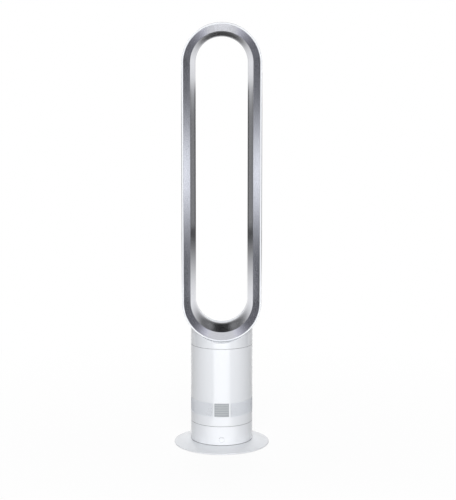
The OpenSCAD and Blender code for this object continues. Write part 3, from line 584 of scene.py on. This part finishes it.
def silver_lacquer():
    """Aluminium-flake lacquer on moulded ABS: satin, with flakes that glint a little apart."""
    material, tree, shader, place = new_material("silver flake lacquer on ABS", Metallic=1.0)
    # Flakes are about 0.05 mm; they are drawn at 0.8 mm to show
    flakes = add(tree, "ShaderNodeTexVoronoi", {"Vector": place, "Scale": per_metre(0.8)})
    haze = add(tree, "ShaderNodeTexNoise", {"Vector": place, "Scale": per_metre(20.0)})
    dress(
        tree,
        shader,
        flakes.outputs["Color"],
        ("C6C7CD", "CCCDD2"),
        haze,
        (0.21, 0.23),
        flakes.outputs["Distance"],
        0.004,
        0.05,
    )
    return material


def satin_white_abs():
    """ABS with a fine spark-eroded texture, as on a perforated band: a soft cool grey."""
    material, tree, shader, place = new_material("satin white ABS, eroded mould", IOR=1.53)
    drift = add(tree, "ShaderNodeTexNoise", {"Vector": place, "Scale": per_metre(40.0)})
    # The eroded grain is about 0.15 mm; it is drawn at 0.5 mm to show
    grain = add(tree, "ShaderNodeTexNoise", {"Vector": place, "Scale": per_metre(0.5), "Detail": 4.0})
    dress(tree, shader, drift, ("E8ECF2", "ECEFF4"), grain, (0.66, 0.76), grain, 0.02, 0.3)
    return material


def tinted_acrylic():
    """Grey-tinted acrylic over a dot display: fine rows show through a gloss face."""
    material, tree, shader, place = new_material(
        "grey tinted acrylic over a display", IOR=1.49, Coat_Weight=0.1, Coat_Roughness=0.04
    )
    # Rows 5.6 mm apart, of dots 1.4 mm apart
    waves = []
    for way, pitch in (("Z", 5.6), ("X", 1.4), ("Z", 1.4)):
        wave = add(
            tree,
            "ShaderNodeTexWave",
            {"Vector": place, "Scale": WAVE * per_metre(pitch)},
            bands_direction=way,
        )
        waves.append(wave.outputs["Fac"])
    dots = add(tree, "ShaderNodeMath", {0: waves[1], 1: waves[2]}, operation="MULTIPLY")
    glint = add(tree, "ShaderNodeMath", {0: waves[0], 1: 0.6, 2: dots}, operation="MULTIPLY_ADD")
    dress(tree, shader, glint, ("8F9498", "AFB3B7"), dots, (0.20, 0.28), dots, 0.004, 0.1)
    return material


def dark_textured_abs():
    """Glass-filled dark plastic of inner parts: matt, with a coarse moulded grain."""
    material, tree, shader, place = new_material("dark glass-filled polyamide", IOR=1.53)
    grain = add(tree, "ShaderNodeTexNoise", {"Vector": place, "Scale": per_metre(0.8), "Detail": 4.0})
    dress(tree, shader, grain, ("242425", "303032"), grain, (0.45, 0.62), grain, 0.04, 0.4)
    return material


def natural_acetal():
    """Machined acetal of the gear and the glide ring: milky, with faint turning lines."""
    material, tree, shader, place = new_material("natural acetal", IOR=1.48)
    drift = add(tree, "ShaderNodeTexNoise", {"Vector": place, "Scale": per_metre(12.0)})
    lines = add(
        tree,
        "ShaderNodeTexWave",
        {"Vector": place, "Scale": WAVE * per_metre(0.5)},
        bands_direction="Z",
    ).outputs["Fac"]
    dress(tree, shader, drift, ("E9E6DA", "F0EEE4"), lines, (0.30, 0.42), lines, 0.01, 0.3)
    return material


def black_rubber():
    """Moulded rubber of feet, seals and gland: matt black with a dusty bloom."""
    material, tree, shader, place = new_material("black rubber", IOR=1.52)
    bloom = add(tree, "ShaderNodeTexNoise", {"Vector": place, "Scale": per_metre(6.0), "Detail": 5.0})
    grain = add(tree, "ShaderNodeTexNoise", {"Vector": place, "Scale": per_metre(0.7)})
    dress(tree, shader, bloom, ("191919", "272726"), bloom, (0.62, 0.82), grain, 0.03, 0.3)
    return material


def open_cell_foam():
    """Reticulated polyurethane foam: dark, with open cells of about 1.2 mm."""
    material, tree, shader, place = new_material("open-cell foam", IOR=1.4)
    cells = add(tree, "ShaderNodeTexVoronoi", {"Vector": place, "Scale": per_metre(1.2)})
    dress(tree, shader, cells, ("1D1D1E", "4A4A4C"), cells, (0.85, 0.98), cells, 0.5, 0.9)
    return material


def zinc_plated_steel():
    """Rolled steel with bright zinc: metallic, with long fine marks and soft spangle."""
    material, tree, shader, place = new_material("zinc-plated steel", Metallic=1.0)
    spangle = add(tree, "ShaderNodeTexNoise", {"Vector": place, "Scale": per_metre(5.0)})
    drawn_out = add(tree, "ShaderNodeMapping", {"Vector": place, "Scale": (1.0, 1.0, 0.06)})
    marks = add(
        tree, "ShaderNodeTexNoise", {"Vector": drawn_out, "Scale": per_metre(0.6), "Detail": 3.0}
    )
    dress(tree, shader, spangle, ("B3B5B8", "C8CACC"), marks, (0.26, 0.42), marks, 0.01, 0.25)
    return material


def solder_mask():
    """Green solder mask on glass-fibre board: glossy, with paler lands and tracks."""
    material, tree, shader, place = new_material("solder mask on board", IOR=1.55)
    tracks = add(
        tree, "ShaderNodeTexBrick", {"Vector": place, "Scale": per_metre(6.0), "Mortar Size": 0.04}
    ).outputs["Fac"]
    dress(tree, shader, tracks, ("12502B", "2C7A47"), tracks, (0.28, 0.40), tracks, 0.03, 0.5)
    return material


def laminated_iron():
    """Stack of 0.5 mm motor sheets, varnished: brownish steel with edge lines."""
    material, tree, shader, place = new_material("varnished motor laminations", Metallic=0.9)
    sheets = add(
        tree,
        "ShaderNodeTexWave",
        {"Vector": place, "Scale": WAVE * per_metre(0.5)},
        bands_direction="Z",
    ).outputs["Fac"]
    dress(tree, shader, sheets, ("6E5B4C", "93806D"), sheets, (0.35, 0.55), sheets, 0.05, 0.5)
    return material


FINISHES = {
    "white_casing": gloss_white_abs(),
    "silver_nozzle": silver_lacquer(),
    "grille_plastic": satin_white_abs(),
    "smoked_window": tinted_acrylic(),
    "dark_plastic": dark_textured_abs(),
    "natural_acetal": natural_acetal(),
    "rubber": black_rubber(),
    "foam": open_cell_foam(),
    "steel": zinc_plated_steel(),
    "board": solder_mask(),
    "motor_iron": laminated_iron(),
}

for part in frame["record"]["subparts"]:
    mesh = frame["nodes"][part["node"]].data
    mesh.materials.clear()
    mesh.materials.append(FINISHES[part["material_slot"]])


def fit_piece(piece, body, slot, *nodes):
    """Gives a piece its finish and body, and lets it stand for its CAD nodes."""
    piece.data.materials.clear()
    piece.data.materials.append(FINISHES[slot])
    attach(piece, body)
    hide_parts(*nodes)


def shell_outline():
    """Section of the white shell: distance from the loop's centre line, and depth."""
    # The last corner only gives the one before it a direction, and is dropped
    front = rounded(
        [
            (SILVER_R + FIT, FRONT_Y + SHELL_WALL, 0),
            (SILVER_R + FIT, FRONT_Y, 0.35),
            (RIM_R, FRONT_Y, 1.0),
            (RIM_R, FRONT_Y + 3, 0),
        ]
    )[:-1]
    widest = (LOOP_R, -6)
    rearmost = (LOOP_R - 17, BACK_Y)
    inmost = (INNER_LIP_R, BACK_Y - 9)
    side = cubic(
        (RIM_R, FRONT_Y + 1), (RIM_R + 1.4, FRONT_Y + 9), (LOOP_R, FRONT_Y + NARROWS_OVER), widest, 20
    )
    side += cubic(widest, (LOOP_R, BACK_Y - 21), (LOOP_R - 5, BACK_Y), rearmost, 32)
    side += cubic(rearmost, (INNER_LIP_R + 5, BACK_Y), (INNER_LIP_R, BACK_Y - 3), inmost, 24)
    side.append((INNER_LIP_R, SLOT_Y))
    inside = shifted(side, -SHELL_WALL)
    return front + side + inside[::-1] + [(RIM_R - SHELL_WALL, FRONT_Y + SHELL_WALL)]


def nozzle_outline():
    """Section of the silver nozzle: flare, lip, diffuser, throat and the inner wall of the slot."""
    flare = Vector((LIP_R - SILVER_R, LIP_Y - FRONT_Y))
    behind = FRONT_Y + NOZZLE_WALL * flare.length / abs(flare.x)
    # Here too the last corner only gives a direction
    front = rounded(
        [
            (SILVER_R, behind, 0),
            (SILVER_R, FRONT_Y, 0.4),
            (LIP_R, LIP_Y, 0.5),
            (LIP_R - 0.79, LIP_Y + 4, 0),
        ]
    )[:-1]
    lip = (LIP_R, LIP_Y)
    throat = (THROAT_R, THROAT_Y)
    tail = (TAIL_R, SLOT_Y)
    air = cubic(lip, (LIP_R - 5.9, LIP_Y + 30), (THROAT_R, THROAT_Y - 16), throat, 28)
    air += cubic(throat, (THROAT_R, THROAT_Y + 9), (TAIL_R, SLOT_Y - 8), tail, 16)
    air.append((TAIL_R, SLOT_Y + SLOT_LEN))
    inside = shifted([lip] + air, NOZZLE_WALL)
    return front + air + inside[::-1]


def swept_loop(name, outline, tree, finish):
    """Draws a section as edges and lets the tree bend it round the loop."""
    mesh = bpy.data.meshes.new(name + " section")
    drawn = [((u - THROAT_R) * MM, y * MM, 0) for u, y in braced(outline)]
    count = len(drawn)
    mesh.from_pydata(drawn, [(i, (i + 1) % count) for i in range(count)], [])
    values = {
        "Path radius": THROAT_R * MM,
        "Lower centre": LOW_Z * MM,
        "Upper centre": HIGH_Z * MM,
        "Path points": LOOP_POINTS,
        "Side steps": SIDE_STEPS,
        "Material": FINISHES[finish],
    }
    return grown(name, mesh, tree, values)


loop_tree = racetrack_tree()
shell = swept_loop("loop_shell_skin", shell_outline(), loop_tree, "white_casing")
fit_piece(shell, "head", "white_casing", "loop_shell", "loop_crown")
nozzle = swept_loop("nozzle_skin", nozzle_outline(), loop_tree, "silver_nozzle")
fit_piece(nozzle, "head", "silver_nozzle", "nozzle", "nozzle_crown")


def base_outline():
    """Section of the base plate: radius and height."""
    brim = BASE_R - COLUMN_R
    rim = (BASE_R, BASE_CLEAR + 0.8)
    shoulder = (BASE_R - 1.4, BASE_SHOULDER_Z)
    lip = (COVER_R + FIT, COVER_LIP_Z)
    flat = COLUMN_R - 2
    top = [(lip[0], BASE_CLEAR), (BASE_R - 0.8, BASE_CLEAR), rim]
    top += cubic(rim, (rim[0], rim[1] + 1.2), (shoulder[0] + 1.1, shoulder[1] - 0.3), shoulder, 8)
    top += cubic(
        shoulder,
        (shoulder[0] - 0.35 * brim, shoulder[1] + 3),
        (COLUMN_R + 0.35 * brim, BASE_TOP),
        (flat, BASE_TOP),
        40,
    )
    under = cubic(
        (flat, BASE_FLOOR),
        (COLUMN_R + 0.3 * brim, BASE_FLOOR),
        (lip[0] - 0.3 * brim, lip[1] + 2.6),
        lip,
        16,
    )
    return top + [(0, BASE_TOP), (0, BASE_FLOOR), (flat, BASE_FLOOR)] + under


def ring_outline(bottom, top, rebate=0.0):
    """A casing ring with softened outer edges, rebated at its foot where the dark ring of painted shade
    shows.
    """
    inner = COLUMN_R - WALL
    corners = [(inner, bottom, 0)]
    if rebate:
        corners += [(COLUMN_R - REBATE_DEPTH, bottom, 0), (COLUMN_R - REBATE_DEPTH, bottom + rebate, 0)]
    corners += [(COLUMN_R, bottom + rebate, EDGE), (COLUMN_R, top, EDGE)]
    return rounded(corners + [(inner, top, 0)], 4)


def painted_shade_ring(name, bottom, top, body):
    """A dark rubber ring in a joint of the column: painted shade that makes the joint look dark."""
    inner = COLUMN_R - REBATE_DEPTH + SHADE_RING_WALL_CLEAR
    corners = [
        (inner, bottom, 0),
        (SHADE_RING_R, bottom, SHADE_RING_ROUND),
        (SHADE_RING_R, top, SHADE_RING_ROUND),
        (inner, top, 0),
    ]
    ring = turned(name, rounded(corners, 2), SHADE_RING_STEPS)
    ring.data.materials.append(FINISHES["rubber"])
    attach(ring, body)


def cable_bore():
    """The round hole that the gland sits in."""
    return [(0, BORE_FROM), (GLAND_BORE_R, BORE_FROM), (GLAND_BORE_R, BORE_TO), (0, BORE_TO)]


def button_bore():
    """The button's hole, wider in front so that its gap shows as a ring."""
    step = COLUMN_R - BUTTON_FRONT_DEPTH
    return [
        (0, BORE_FROM),
        (BUTTON_R + BUTTON_GAP, BORE_FROM),
        (BUTTON_R + BUTTON_GAP, step),
        (BUTTON_R + BUTTON_FRONT_GAP, step),
        (BUTTON_R + BUTTON_FRONT_GAP, BORE_TO),
        (0, BORE_TO),
    ]


fit_piece(turned("base_disc", base_outline(), ROUND_STEPS), "base", "white_casing", "base_plate")

lower = turned(
    "lower_casing_ring", ring_outline(BASE_TOP, LOWER_TOP - JOINT_SHOWS, FOOT_REBATE), ROUND_STEPS
)
lower = cut(
    lower,
    [
        turned("button bore", button_bore(), BUTTON_STEPS, along_y(BUTTON_Z)),
        turned("cable bore", cable_bore(), CABLE_BORE_STEPS, along_y(CABLE_Z, True)),
    ],
)
fit_piece(lower, "base", "white_casing", "lower_casing")
skirt = turned("skirt_ring", ring_outline(SKIRT_Z + JOINT_SHOWS, BAND_Z), ROUND_STEPS)
fit_piece(skirt, "head", "white_casing", "skirt")
body = turned("body_casing_ring", ring_outline(CASING_Z, CASING_TOP - JOINT_SHOWS), ROUND_STEPS)
fit_piece(body, "head", "white_casing", "body_casing")
# Dark rings in the three joints: painted shade that darkens the seams
painted_shade_ring("foot_shade_ring", BASE_TOP + SHADE_RING_CLEAR, BASE_TOP + FOOT_REBATE - SHADE_RING_CLEAR, "base")
painted_shade_ring("swing_shade_ring", LOWER_TOP - JOINT_SHOWS + SHADE_RING_CLEAR, SKIRT_Z + JOINT_SHOWS - SWING_CLEAR, "base")
painted_shade_ring("neck_shade_ring", CASING_TOP - JOINT_SHOWS + SHADE_RING_CLEAR, NECK_Z + JOINT_SHOWS - SHADE_RING_CLEAR, "head")


def neck_top(x, y):
    """Height of the neck's top: close under the loop, whose front narrows to its rim."""
    narrow = min(max((FRONT_Y + NARROWS_OVER - y) / NARROWS_OVER, 0.0), 1.0)
    rim_gap = 0.2
    seat = LOOP_R + FIT - (LOOP_R - RIM_R - rim_gap) * narrow**2
    return LOW_Z - math.sqrt(seat**2 - x**2)


def neck_piece():
    """The casing above the upper seam, whose top follows the loop that stands in it."""
    duct_half_w = 48.0
    duct_half_d = 20.0
    # Inside this radius the rows of points follow the duct
    duct_rows_r = 52
    foot = NECK_Z + JOINT_SHOWS
    round_steps = 5
    columns = []
    for i in range(ROUND_STEPS):
        a = 2 * math.pi * i / ROUND_STEPS
        way_x, way_y = math.sin(a), -math.cos(a)
        inner = 1 / math.hypot(way_x / duct_half_w, way_y / duct_half_d)
        top = neck_top(COLUMN_R * way_x, COLUMN_R * way_y)
        column = [(inner, NECK_Z), (COLUMN_R - REBATE_DEPTH, NECK_Z), (COLUMN_R - REBATE_DEPTH, foot)]
        column += [(COLUMN_R - EDGE, foot), (COLUMN_R, foot + EDGE)]
        column += [(COLUMN_R, foot + EDGE + (top - foot - EDGE) * share) for share in (0.04, 0.3, 0.6)]
        column += [(COLUMN_R, top - NECK_TOP_ROUND - BRACE), (COLUMN_R, top - NECK_TOP_ROUND)]
        for k in range(1, round_steps):
            t = math.radians(90 * k / round_steps)
            r = COLUMN_R - NECK_TOP_ROUND * (1 - math.cos(t))
            column.append((r, neck_top(r * way_x, r * way_y) - NECK_TOP_ROUND * (1 - math.sin(t))))
        flat = COLUMN_R - NECK_TOP_ROUND
        radii = [flat, flat - BRACE, 71, 68, 64, 60, 56]
        radii += [duct_rows_r + (inner - duct_rows_r) * share for share in (0.0, 0.25, 0.5, 0.75, 1.0)]
        column += [(r, neck_top(r * way_x, r * way_y)) for r in radii]
        columns.append([(r * way_x * MM, r * way_y * MM, z * MM) for r, z in column])
    mesh = bpy.data.meshes.new("neck_casing")
    mesh.from_pydata(
        [v for column in columns for v in column], [], hoop_faces(ROUND_STEPS, len(columns[0]))
    )
    outward(mesh)
    smooth(mesh)
    return link(mesh, "neck_casing")


fit_piece(neck_piece(), "head", "white_casing", "neck")

# Radius and distance from the column's axis, for the button as for the gland
button_outline = [(0, BUTTON_FACE - 0.35), (2.4, BUTTON_FACE - 0.28), (4.0, BUTTON_FACE - 0.1)]
button_outline += rounded(
    [
        (4.8, BUTTON_FACE, 0),
        (BUTTON_R, BUTTON_FACE, 0.45),
        (BUTTON_R, BUTTON_FLANGE_TO, 0),
        (BUTTON_FLANGE_R, BUTTON_FLANGE_TO, 0),
        (BUTTON_FLANGE_R, BUTTON_FLANGE_FROM, 0),
        (BUTTON_STEM_R, BUTTON_FLANGE_FROM, 0),
        (BUTTON_STEM_R, BUTTON_STEM_FROM, 0),
        (0, BUTTON_STEM_FROM, 0),
    ]
)
button = turned("round_button", button_outline, BUTTON_STEPS, along_y(BUTTON_Z))
fit_piece(button, "button", "white_casing", "power_button")

gland_outline = [
    (CABLE_R, 68.7),
    (7.0, 68.7),
    (7.0, 70.7),
    (5.4, 70.7),
    (5.4, 74.1),
    (7.4, 74.1),
    (7.4, 75.0),
    (7.1, 75.5),
    (6.0, 75.7),
    (6.0, 76.2),
    (6.4, 76.3),
    (6.3, 76.9),
    (5.2, 77.1),
    (5.2, 77.6),
    (5.5, 77.7),
    (5.3, 78.3),
    (4.4, 78.5),
    (4.3, 79.1),
    (CABLE_R, 79.1),
]
gland = turned("ribbed_gland", gland_outline, GLAND_STEPS, along_y(CABLE_Z, True))
fit_piece(gland, "base", "rubber", "cable_gland")


def hole_tile(width, height, radius, skin):
    """A tile of the band's skin with one round hole, facing +X, in metres."""
    sides = 8
    square = []
    circle = []
    for i in range(sides):
        a = 2 * math.pi * i / sides
        reach = 0.5 / max(abs(math.cos(a)), abs(math.sin(a)))
        square.append((reach * math.cos(a) * width, reach * math.sin(a) * height))
        circle.append((radius * math.cos(a), radius * math.sin(a)))
    vertices = []
    for depth in (0.0, -skin):
        vertices += [(depth, y, z) for y, z in square]
        vertices += [(depth, y, z) for y, z in circle]
    faces = []
    back = 2 * sides
    for i in range(sides):
        j = (i + 1) % sides
        faces.append((i, j, sides + j, sides + i))
        faces.append((back + i, back + sides + i, back + sides + j, back + j))
        faces.append((sides + i, sides + j, back + sides + j, back + sides + i))
    mesh = bpy.data.meshes.new("hole tile")
    mesh.from_pydata(vertices, [], faces)
    return mesh


row_height = (CASING_Z - BAND_Z - 2 * BAND_RIM) / BAND_ROWS
tile_width = 2 * BAND_R * math.tan(math.pi / BAND_COLUMNS)
band = grown(
    "perforated_band",
    hole_tile(tile_width * MM, row_height * MM, HOLE_R * MM, BAND_SKIN * MM),
    perforated_tree(),
    {
        "Radius": BAND_R * MM,
        "First row": (BAND_Z + BAND_RIM + row_height / 2) * MM,
        "Row height": row_height * MM,
        "Columns": BAND_COLUMNS,
        "Rows": BAND_ROWS,
        "Bezel half width": (BEZEL_W / 2 - BAND_BEHIND_BEZEL) * MM,
        "Material": FINISHES["grille_plastic"],
    },
)
fit_piece(band, "head", "grille_plastic", "inlet_grille")
for height, label in ((BAND_Z, "low"), (CASING_Z - BAND_RIM, "high")):
    edge = turned(
        "band_rim_" + label,
        [
            (BAND_R - BAND_SKIN, height),
            (BAND_R, height),
            (BAND_R, height + BAND_RIM),
            (BAND_R - BAND_SKIN, height + BAND_RIM),
        ],
        ROUND_STEPS,
    )
    fit_piece(edge, "head", "grille_plastic", "inlet_grille")


def softened(node, width_mm):
    """A merged copy of a CAD node with softened edges."""
    mesh = frame["nodes"][node].data.copy()
    outward(mesh)
    piece = link(mesh, node + " copy")
    soften = piece.modifiers.new("soften", "BEVEL")
    soften.width = width_mm * MM
    soften.segments = 3
    soften.limit_method = "ANGLE"
    soften.angle_limit = math.radians(40)
    made = evaluated(piece, node + "_softened")
    low, high = (Vector(corner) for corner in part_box(node))
    # Edges near its sides, its top and its foot let the flat middle shade flat
    reach = 2 * width_mm * MM
    work = bmesh.new()
    work.from_mesh(made.data)
    for axis in (0, 2):
        way = Vector([1.0 if k == axis else 0.0 for k in range(3)])
        for spot in (low[axis] + reach, high[axis] - reach):
            parts = work.verts[:] + work.edges[:] + work.faces[:]
            bmesh.ops.bisect_plane(work, geom=parts, plane_co=way * spot, plane_no=way, dist=1e-7)
    work.to_mesh(made.data)
    work.free()
    smooth(made.data)
    return made


fit_piece(softened("display_bezel", 0.25), "head", "white_casing", "display_bezel")
fit_piece(softened("display_window", 0.2), "head", "smoked_window", "display_window")


def staged(name, faces, material):
    """A stage piece from the corners of each of its faces."""
    corners = []
    loops = []
    for face in faces:
        loops.append([len(corners) + i for i in range(len(face))])
        corners += face
    mesh = bpy.data.meshes.new(name)
    mesh.from_pydata(corners, [], loops)
    mesh.materials.append(material)
    piece = link(mesh, name)
    return piece


def seen_share(tree):
    """1 for rays from the camera and for mirrored and transmitted ones, else 0."""
    ray = add(tree, "ShaderNodeLightPath").outputs
    share = add(
        tree, "ShaderNodeMath", {0: ray["Is Camera Ray"], 1: ray["Is Glossy Ray"]}, operation="MAXIMUM"
    )
    return add(
        tree, "ShaderNodeMath", {0: share, 1: ray["Is Transmission Ray"]}, operation="MAXIMUM"
    )


def stage_material(name):
    """A material with an empty tree, whose glow isn't sampled as a lamp."""
    material = bpy.data.materials.new(name)
    material.use_nodes = True
    material.cycles.emission_sampling = "NONE"
    tree = material.node_tree
    tree.nodes.clear()
    return material, tree


def pale_floor():
    """White where it is seen, with a faint shadow; a plain pale grey where it lights the object."""
    material, tree = stage_material("pale floor")
    matt = add(tree, "ShaderNodeBsdfDiffuse", {"Color": srgb("B2B2B2")})
    paper = add(tree, "ShaderNodeBsdfDiffuse", {"Color": srgb("FAFAFA")})
    white = add(tree, "ShaderNodeEmission", {"Color": srgb("FFFFFF"), "Strength": 1.0})
    place = add(tree, "ShaderNodeTexCoord").outputs["Object"]
    reach = add(tree, "ShaderNodeVectorMath", {0: place}, operation="LENGTH").outputs["Value"]
    share = add(
        tree,
        "ShaderNodeMapRange",
        {
            "Value": reach,
            "From Min": FLOOR_SHADE_REACH[0],
            "From Max": FLOOR_SHADE_REACH[1],
            "To Min": FLOOR_SHADE,
            "To Max": 1.0,
        },
    )
    seen = add(tree, "ShaderNodeMixShader", {0: share, 1: paper, 2: white})
    whole = add(tree, "ShaderNodeMixShader", {0: seen_share(tree), 1: matt, 2: seen})
    add(tree, "ShaderNodeOutputMaterial", {"Surface": whole})
    return material


def card(name, faces, material):
    """A studio card that only mirrors in glossy surfaces."""
    piece = staged(name, faces, material)
    piece.visible_camera = False
    piece.visible_diffuse = False
    piece.visible_transmission = False
    piece.visible_shadow = False


def side_face(x, foot, top):
    """Corners of an upright face beside the object."""
    return [(x, CARD_FRONT, foot), (x, CARD_REAR, foot), (x, CARD_REAR, top), (x, CARD_FRONT, top)]


def cross_face(y, half, foot, top):
    """Corners of an upright face before or behind the object."""
    return [(-half, y, foot), (half, y, foot), (half, y, top), (-half, y, top)]


def fin_faces(side, rise):
    """Sheets from a side card towards the object, tilted like the rays that reach them."""
    x = side * CARD_X
    edge = x - side * FIN_DEPTH
    foot = CARD_BAND_Z - CARD_HALF
    faces = []
    for k in range(FINS):
        z = foot + 2 * CARD_HALF * (k + 0.5) / FINS
        tip = z + FIN_DEPTH * (CAMERA_HEIGHT - z) / CAMERA_DISTANCE + rise
        z += rise
        faces.append(
            [(x, CARD_FRONT, z), (x, CARD_REAR, z), (edge, CARD_REAR, tip), (edge, CARD_FRONT, tip)]
        )
    return faces


def card_material(name, code="FFFFFF"):
    """A card's material, its tree, its light in this colour, and the X, Y and Z of a place on it."""
    material, tree = stage_material(name)
    lamp = add(tree, "ShaderNodeEmission", {"Color": srgb(code)})
    add(tree, "ShaderNodeOutputMaterial", {"Surface": lamp})
    place = add(tree, "ShaderNodeSeparateXYZ", {0: add(tree, "ShaderNodeTexCoord").outputs["Object"]})
    return material, tree, lamp, place.outputs


def side_card_glow():
    """Near black, with one soft bright band across the middle height."""
    material, tree, lamp, place = card_material("side card", "F2F4F9")
    away = add(tree, "ShaderNodeMath", {0: place["Z"], 1: CARD_BAND_Z}, operation="SUBTRACT")
    steps = add(tree, "ShaderNodeMath", {0: away, 1: CARD_BAND_SPREAD}, operation="DIVIDE")
    square = add(tree, "ShaderNodeMath", {0: steps, 1: steps}, operation="MULTIPLY")
    fall = add(tree, "ShaderNodeMath", {0: square, 1: -0.5}, operation="MULTIPLY")
    band = add(tree, "ShaderNodeMath", {0: fall}, operation="EXPONENT")
    glow = add(
        tree, "ShaderNodeMath", {0: band, 1: CARD_BAND_GAIN, 2: CARD_DARK}, operation="MULTIPLY_ADD"
    )
    tree.links.new(glow.outputs[0], lamp.inputs["Strength"])
    return material


def fin_glow(name, level, pale):
    """Dim near this height, that of the flare's arc mirrored here, and paler away from it."""
    material, tree, lamp, place = card_material(name, "F0F0FB")
    away = add(tree, "ShaderNodeMath", {0: place["Z"], 1: level}, operation="SUBTRACT")
    reach = add(tree, "ShaderNodeMath", {0: away}, operation="ABSOLUTE")
    glow = add(
        tree,
        "ShaderNodeMapRange",
        {
            "Value": reach,
            "From Min": FIN_DIM_REACH,
            "From Max": FIN_PALE_REACH,
            "To Min": FIN_DIM,
            "To Max": pale,
        },
    )
    tree.links.new(glow.outputs[0], lamp.inputs["Strength"])
    return material


def back_card_glow():
    """Black in its middle, grey beside it and white towards both ends."""
    material, tree, lamp, place = card_material("back card")
    aside = add(tree, "ShaderNodeMath", {0: place["X"]}, operation="ABSOLUTE")
    changes = {}
    for key, value, (start, end), first, last in (
        ("grey", aside, BACK_GREY_X, 0.0, BACK_GREY),
        ("outer", aside, BACK_OUTER_X, 0.0, 1.0),
        ("upper", place["Z"], BACK_UPPER_Z, BACK_BLACK, BACK_UPPER_WHITE),
        ("outer upper", place["Z"], BACK_OUTER_Z, 0.0, BACK_OUTER_WHITE),
        ("lower", place["Z"], BACK_LOWER_Z, BACK_LOWER_WHITE, 0.0),
    ):
        changes[key] = add(
            tree,
            "ShaderNodeMapRange",
            {"Value": value, "From Min": start, "From Max": end, "To Min": first, "To Max": last},
            interpolation_type="SMOOTHSTEP",
        )
    above = add(
        tree,
        "ShaderNodeMapRange",
        {"Value": place["Z"], "From Min": BACK_GREY_Z[0], "From Max": BACK_GREY_Z[1]},
    )
    ends = add(
        tree,
        "ShaderNodeMapRange",
        {"Value": changes["outer"], "To Min": changes["upper"], "To Max": changes["outer upper"]},
    )
    sum_up = add(
        tree, "ShaderNodeMath", {0: changes["grey"], 1: above, 2: ends}, operation="MULTIPLY_ADD"
    )
    glow = add(tree, "ShaderNodeMath", {0: sum_up, 1: changes["lower"]}, operation="ADD")
    tree.links.new(glow.outputs[0], lamp.inputs["Strength"])
    return material


def front_card_glow():
    """Bright in its middle and soft at its sides, for the upright gleam on the column."""
    material, tree, lamp, place = card_material("front card")
    away = add(tree, "ShaderNodeMath", {0: place["X"]}, operation="ABSOLUTE")
    glow = add(
        tree,
        "ShaderNodeMapRange",
        {
            "Value": away,
            "From Min": FRONT_CARD_HALF - FRONT_CARD_SOFT,
            "From Max": FRONT_CARD_HALF,
            "To Min": FRONT_CARD_GAIN,
            "To Max": 1.0,
        },
        interpolation_type="SMOOTHSTEP",
    )
    tree.links.new(glow.outputs[0], lamp.inputs["Strength"])
    return material


floor_rim = []
for i in range(FLOOR_STEPS):
    a = 2 * math.pi * i / FLOOR_STEPS
    floor_rim.append((FLOOR_R * math.cos(a), FLOOR_R * math.sin(a), 0))
staged("floor", [floor_rim], pale_floor())

side_glow = side_card_glow()
fin_tops = fin_glow("card fins, top", HIGH_Z * MM, FIN_TOP_PALE)
fin_undersides = fin_glow("card fins, underside", LOW_Z * MM, FIN_UNDERSIDE_PALE)
for side, label in ((-1, "left"), (1, "right")):
    face = side_face(side * CARD_X, CARD_BAND_Z - CARD_HALF, CARD_BAND_Z + CARD_HALF)
    card("card_" + label, [face], side_glow)
    # Like a softbox's grid, the fins keep the bright band to level rays
    card("fin_tops_" + label, fin_faces(side, FIN_SHEET), fin_tops)
    card("fin_undersides_" + label, fin_faces(side, -FIN_SHEET), fin_undersides)

back_face = cross_face(BACK_CARD_Y, BACK_CARD_HALF, BACK_CARD_FOOT, BACK_CARD_TOP)
card("card_back", [back_face], back_card_glow())

front_faces = [cross_face(FRONT_CARD_Y, FRONT_CARD_HALF, FRONT_CARD_FOOT, FRONT_CARD_TOP)]
# Low strips before it carry the gleam down the column and leave steep rays alone
for k in range(1, STRIPS + 1):
    y = FRONT_CARD_Y + STRIP_STEP * k
    front_faces.append(cross_face(y, FRONT_CARD_HALF, FRONT_CARD_FOOT, FRONT_CARD_FOOT + STRIP_H))
card("card_front", front_faces, front_card_glow())


def area_lamp(name, place, aim, size, level):
    """A soft lamp that gives a facing white surface this share of full white."""
    distance = (Vector(aim) - Vector(place)).length
    data = bpy.data.lights.new(name, "AREA")
    data.shape = "SQUARE"
    data.size = size
    data.energy = level * math.pi**2 * distance**2
    lamp = bpy.data.objects.new(name, data)
    lamp.location = place
    lamp.rotation_mode = "QUATERNION"
    lamp.rotation_quaternion = (Vector(aim) - Vector(place)).to_track_quat("-Z", "Y")
    lamp.visible_camera = False
    # The cards and the world are what shows in gloss
    lamp.visible_glossy = False
    bpy.context.scene.collection.objects.link(lamp)


for name, place, aim_z, size, level in LAMPS:
    area_lamp(name, place, (0, 0, aim_z), size, level)

world = bpy.data.worlds.new("studio")
world.use_nodes = True
world.cycles.sampling_method = "NONE"
tree = world.node_tree
tree.nodes.clear()
strength = add(
    tree, "ShaderNodeMapRange", {"Value": seen_share(tree), "To Min": WORLD_LIGHT, "To Max": 1.0}
)
sky = add(tree, "ShaderNodeBackground", {"Color": srgb("FFFFFF"), "Strength": strength})
add(tree, "ShaderNodeOutputWorld", {"Surface": sky})
bpy.context.scene.world = world

bpy.context.scene.view_settings.view_transform = "Standard"

# The photograph's horizon is far above its middle: a small shift and a tilt share that
camera = bpy.data.cameras.new("camera")
camera.lens = FOCAL_PX * SENSOR / PHOTO_H
camera.sensor_width = SENSOR
camera.shift_x = (PHOTO_W / 2 - AXIS_X) / PHOTO_H
camera.shift_y = CAMERA_SHIFT
camera.clip_end = 40.0
viewer = bpy.data.objects.new("camera", camera)
tilt = math.atan((PHOTO_H / 2 - HORIZON_Y + CAMERA_SHIFT * PHOTO_H) / FOCAL_PX)
viewer.rotation_euler = (math.pi / 2 - tilt, 0, 0)
viewer.location = (0, -CAMERA_DISTANCE, CAMERA_HEIGHT)
bpy.context.scene.collection.objects.link(viewer)
bpy.context.scene.camera = viewer
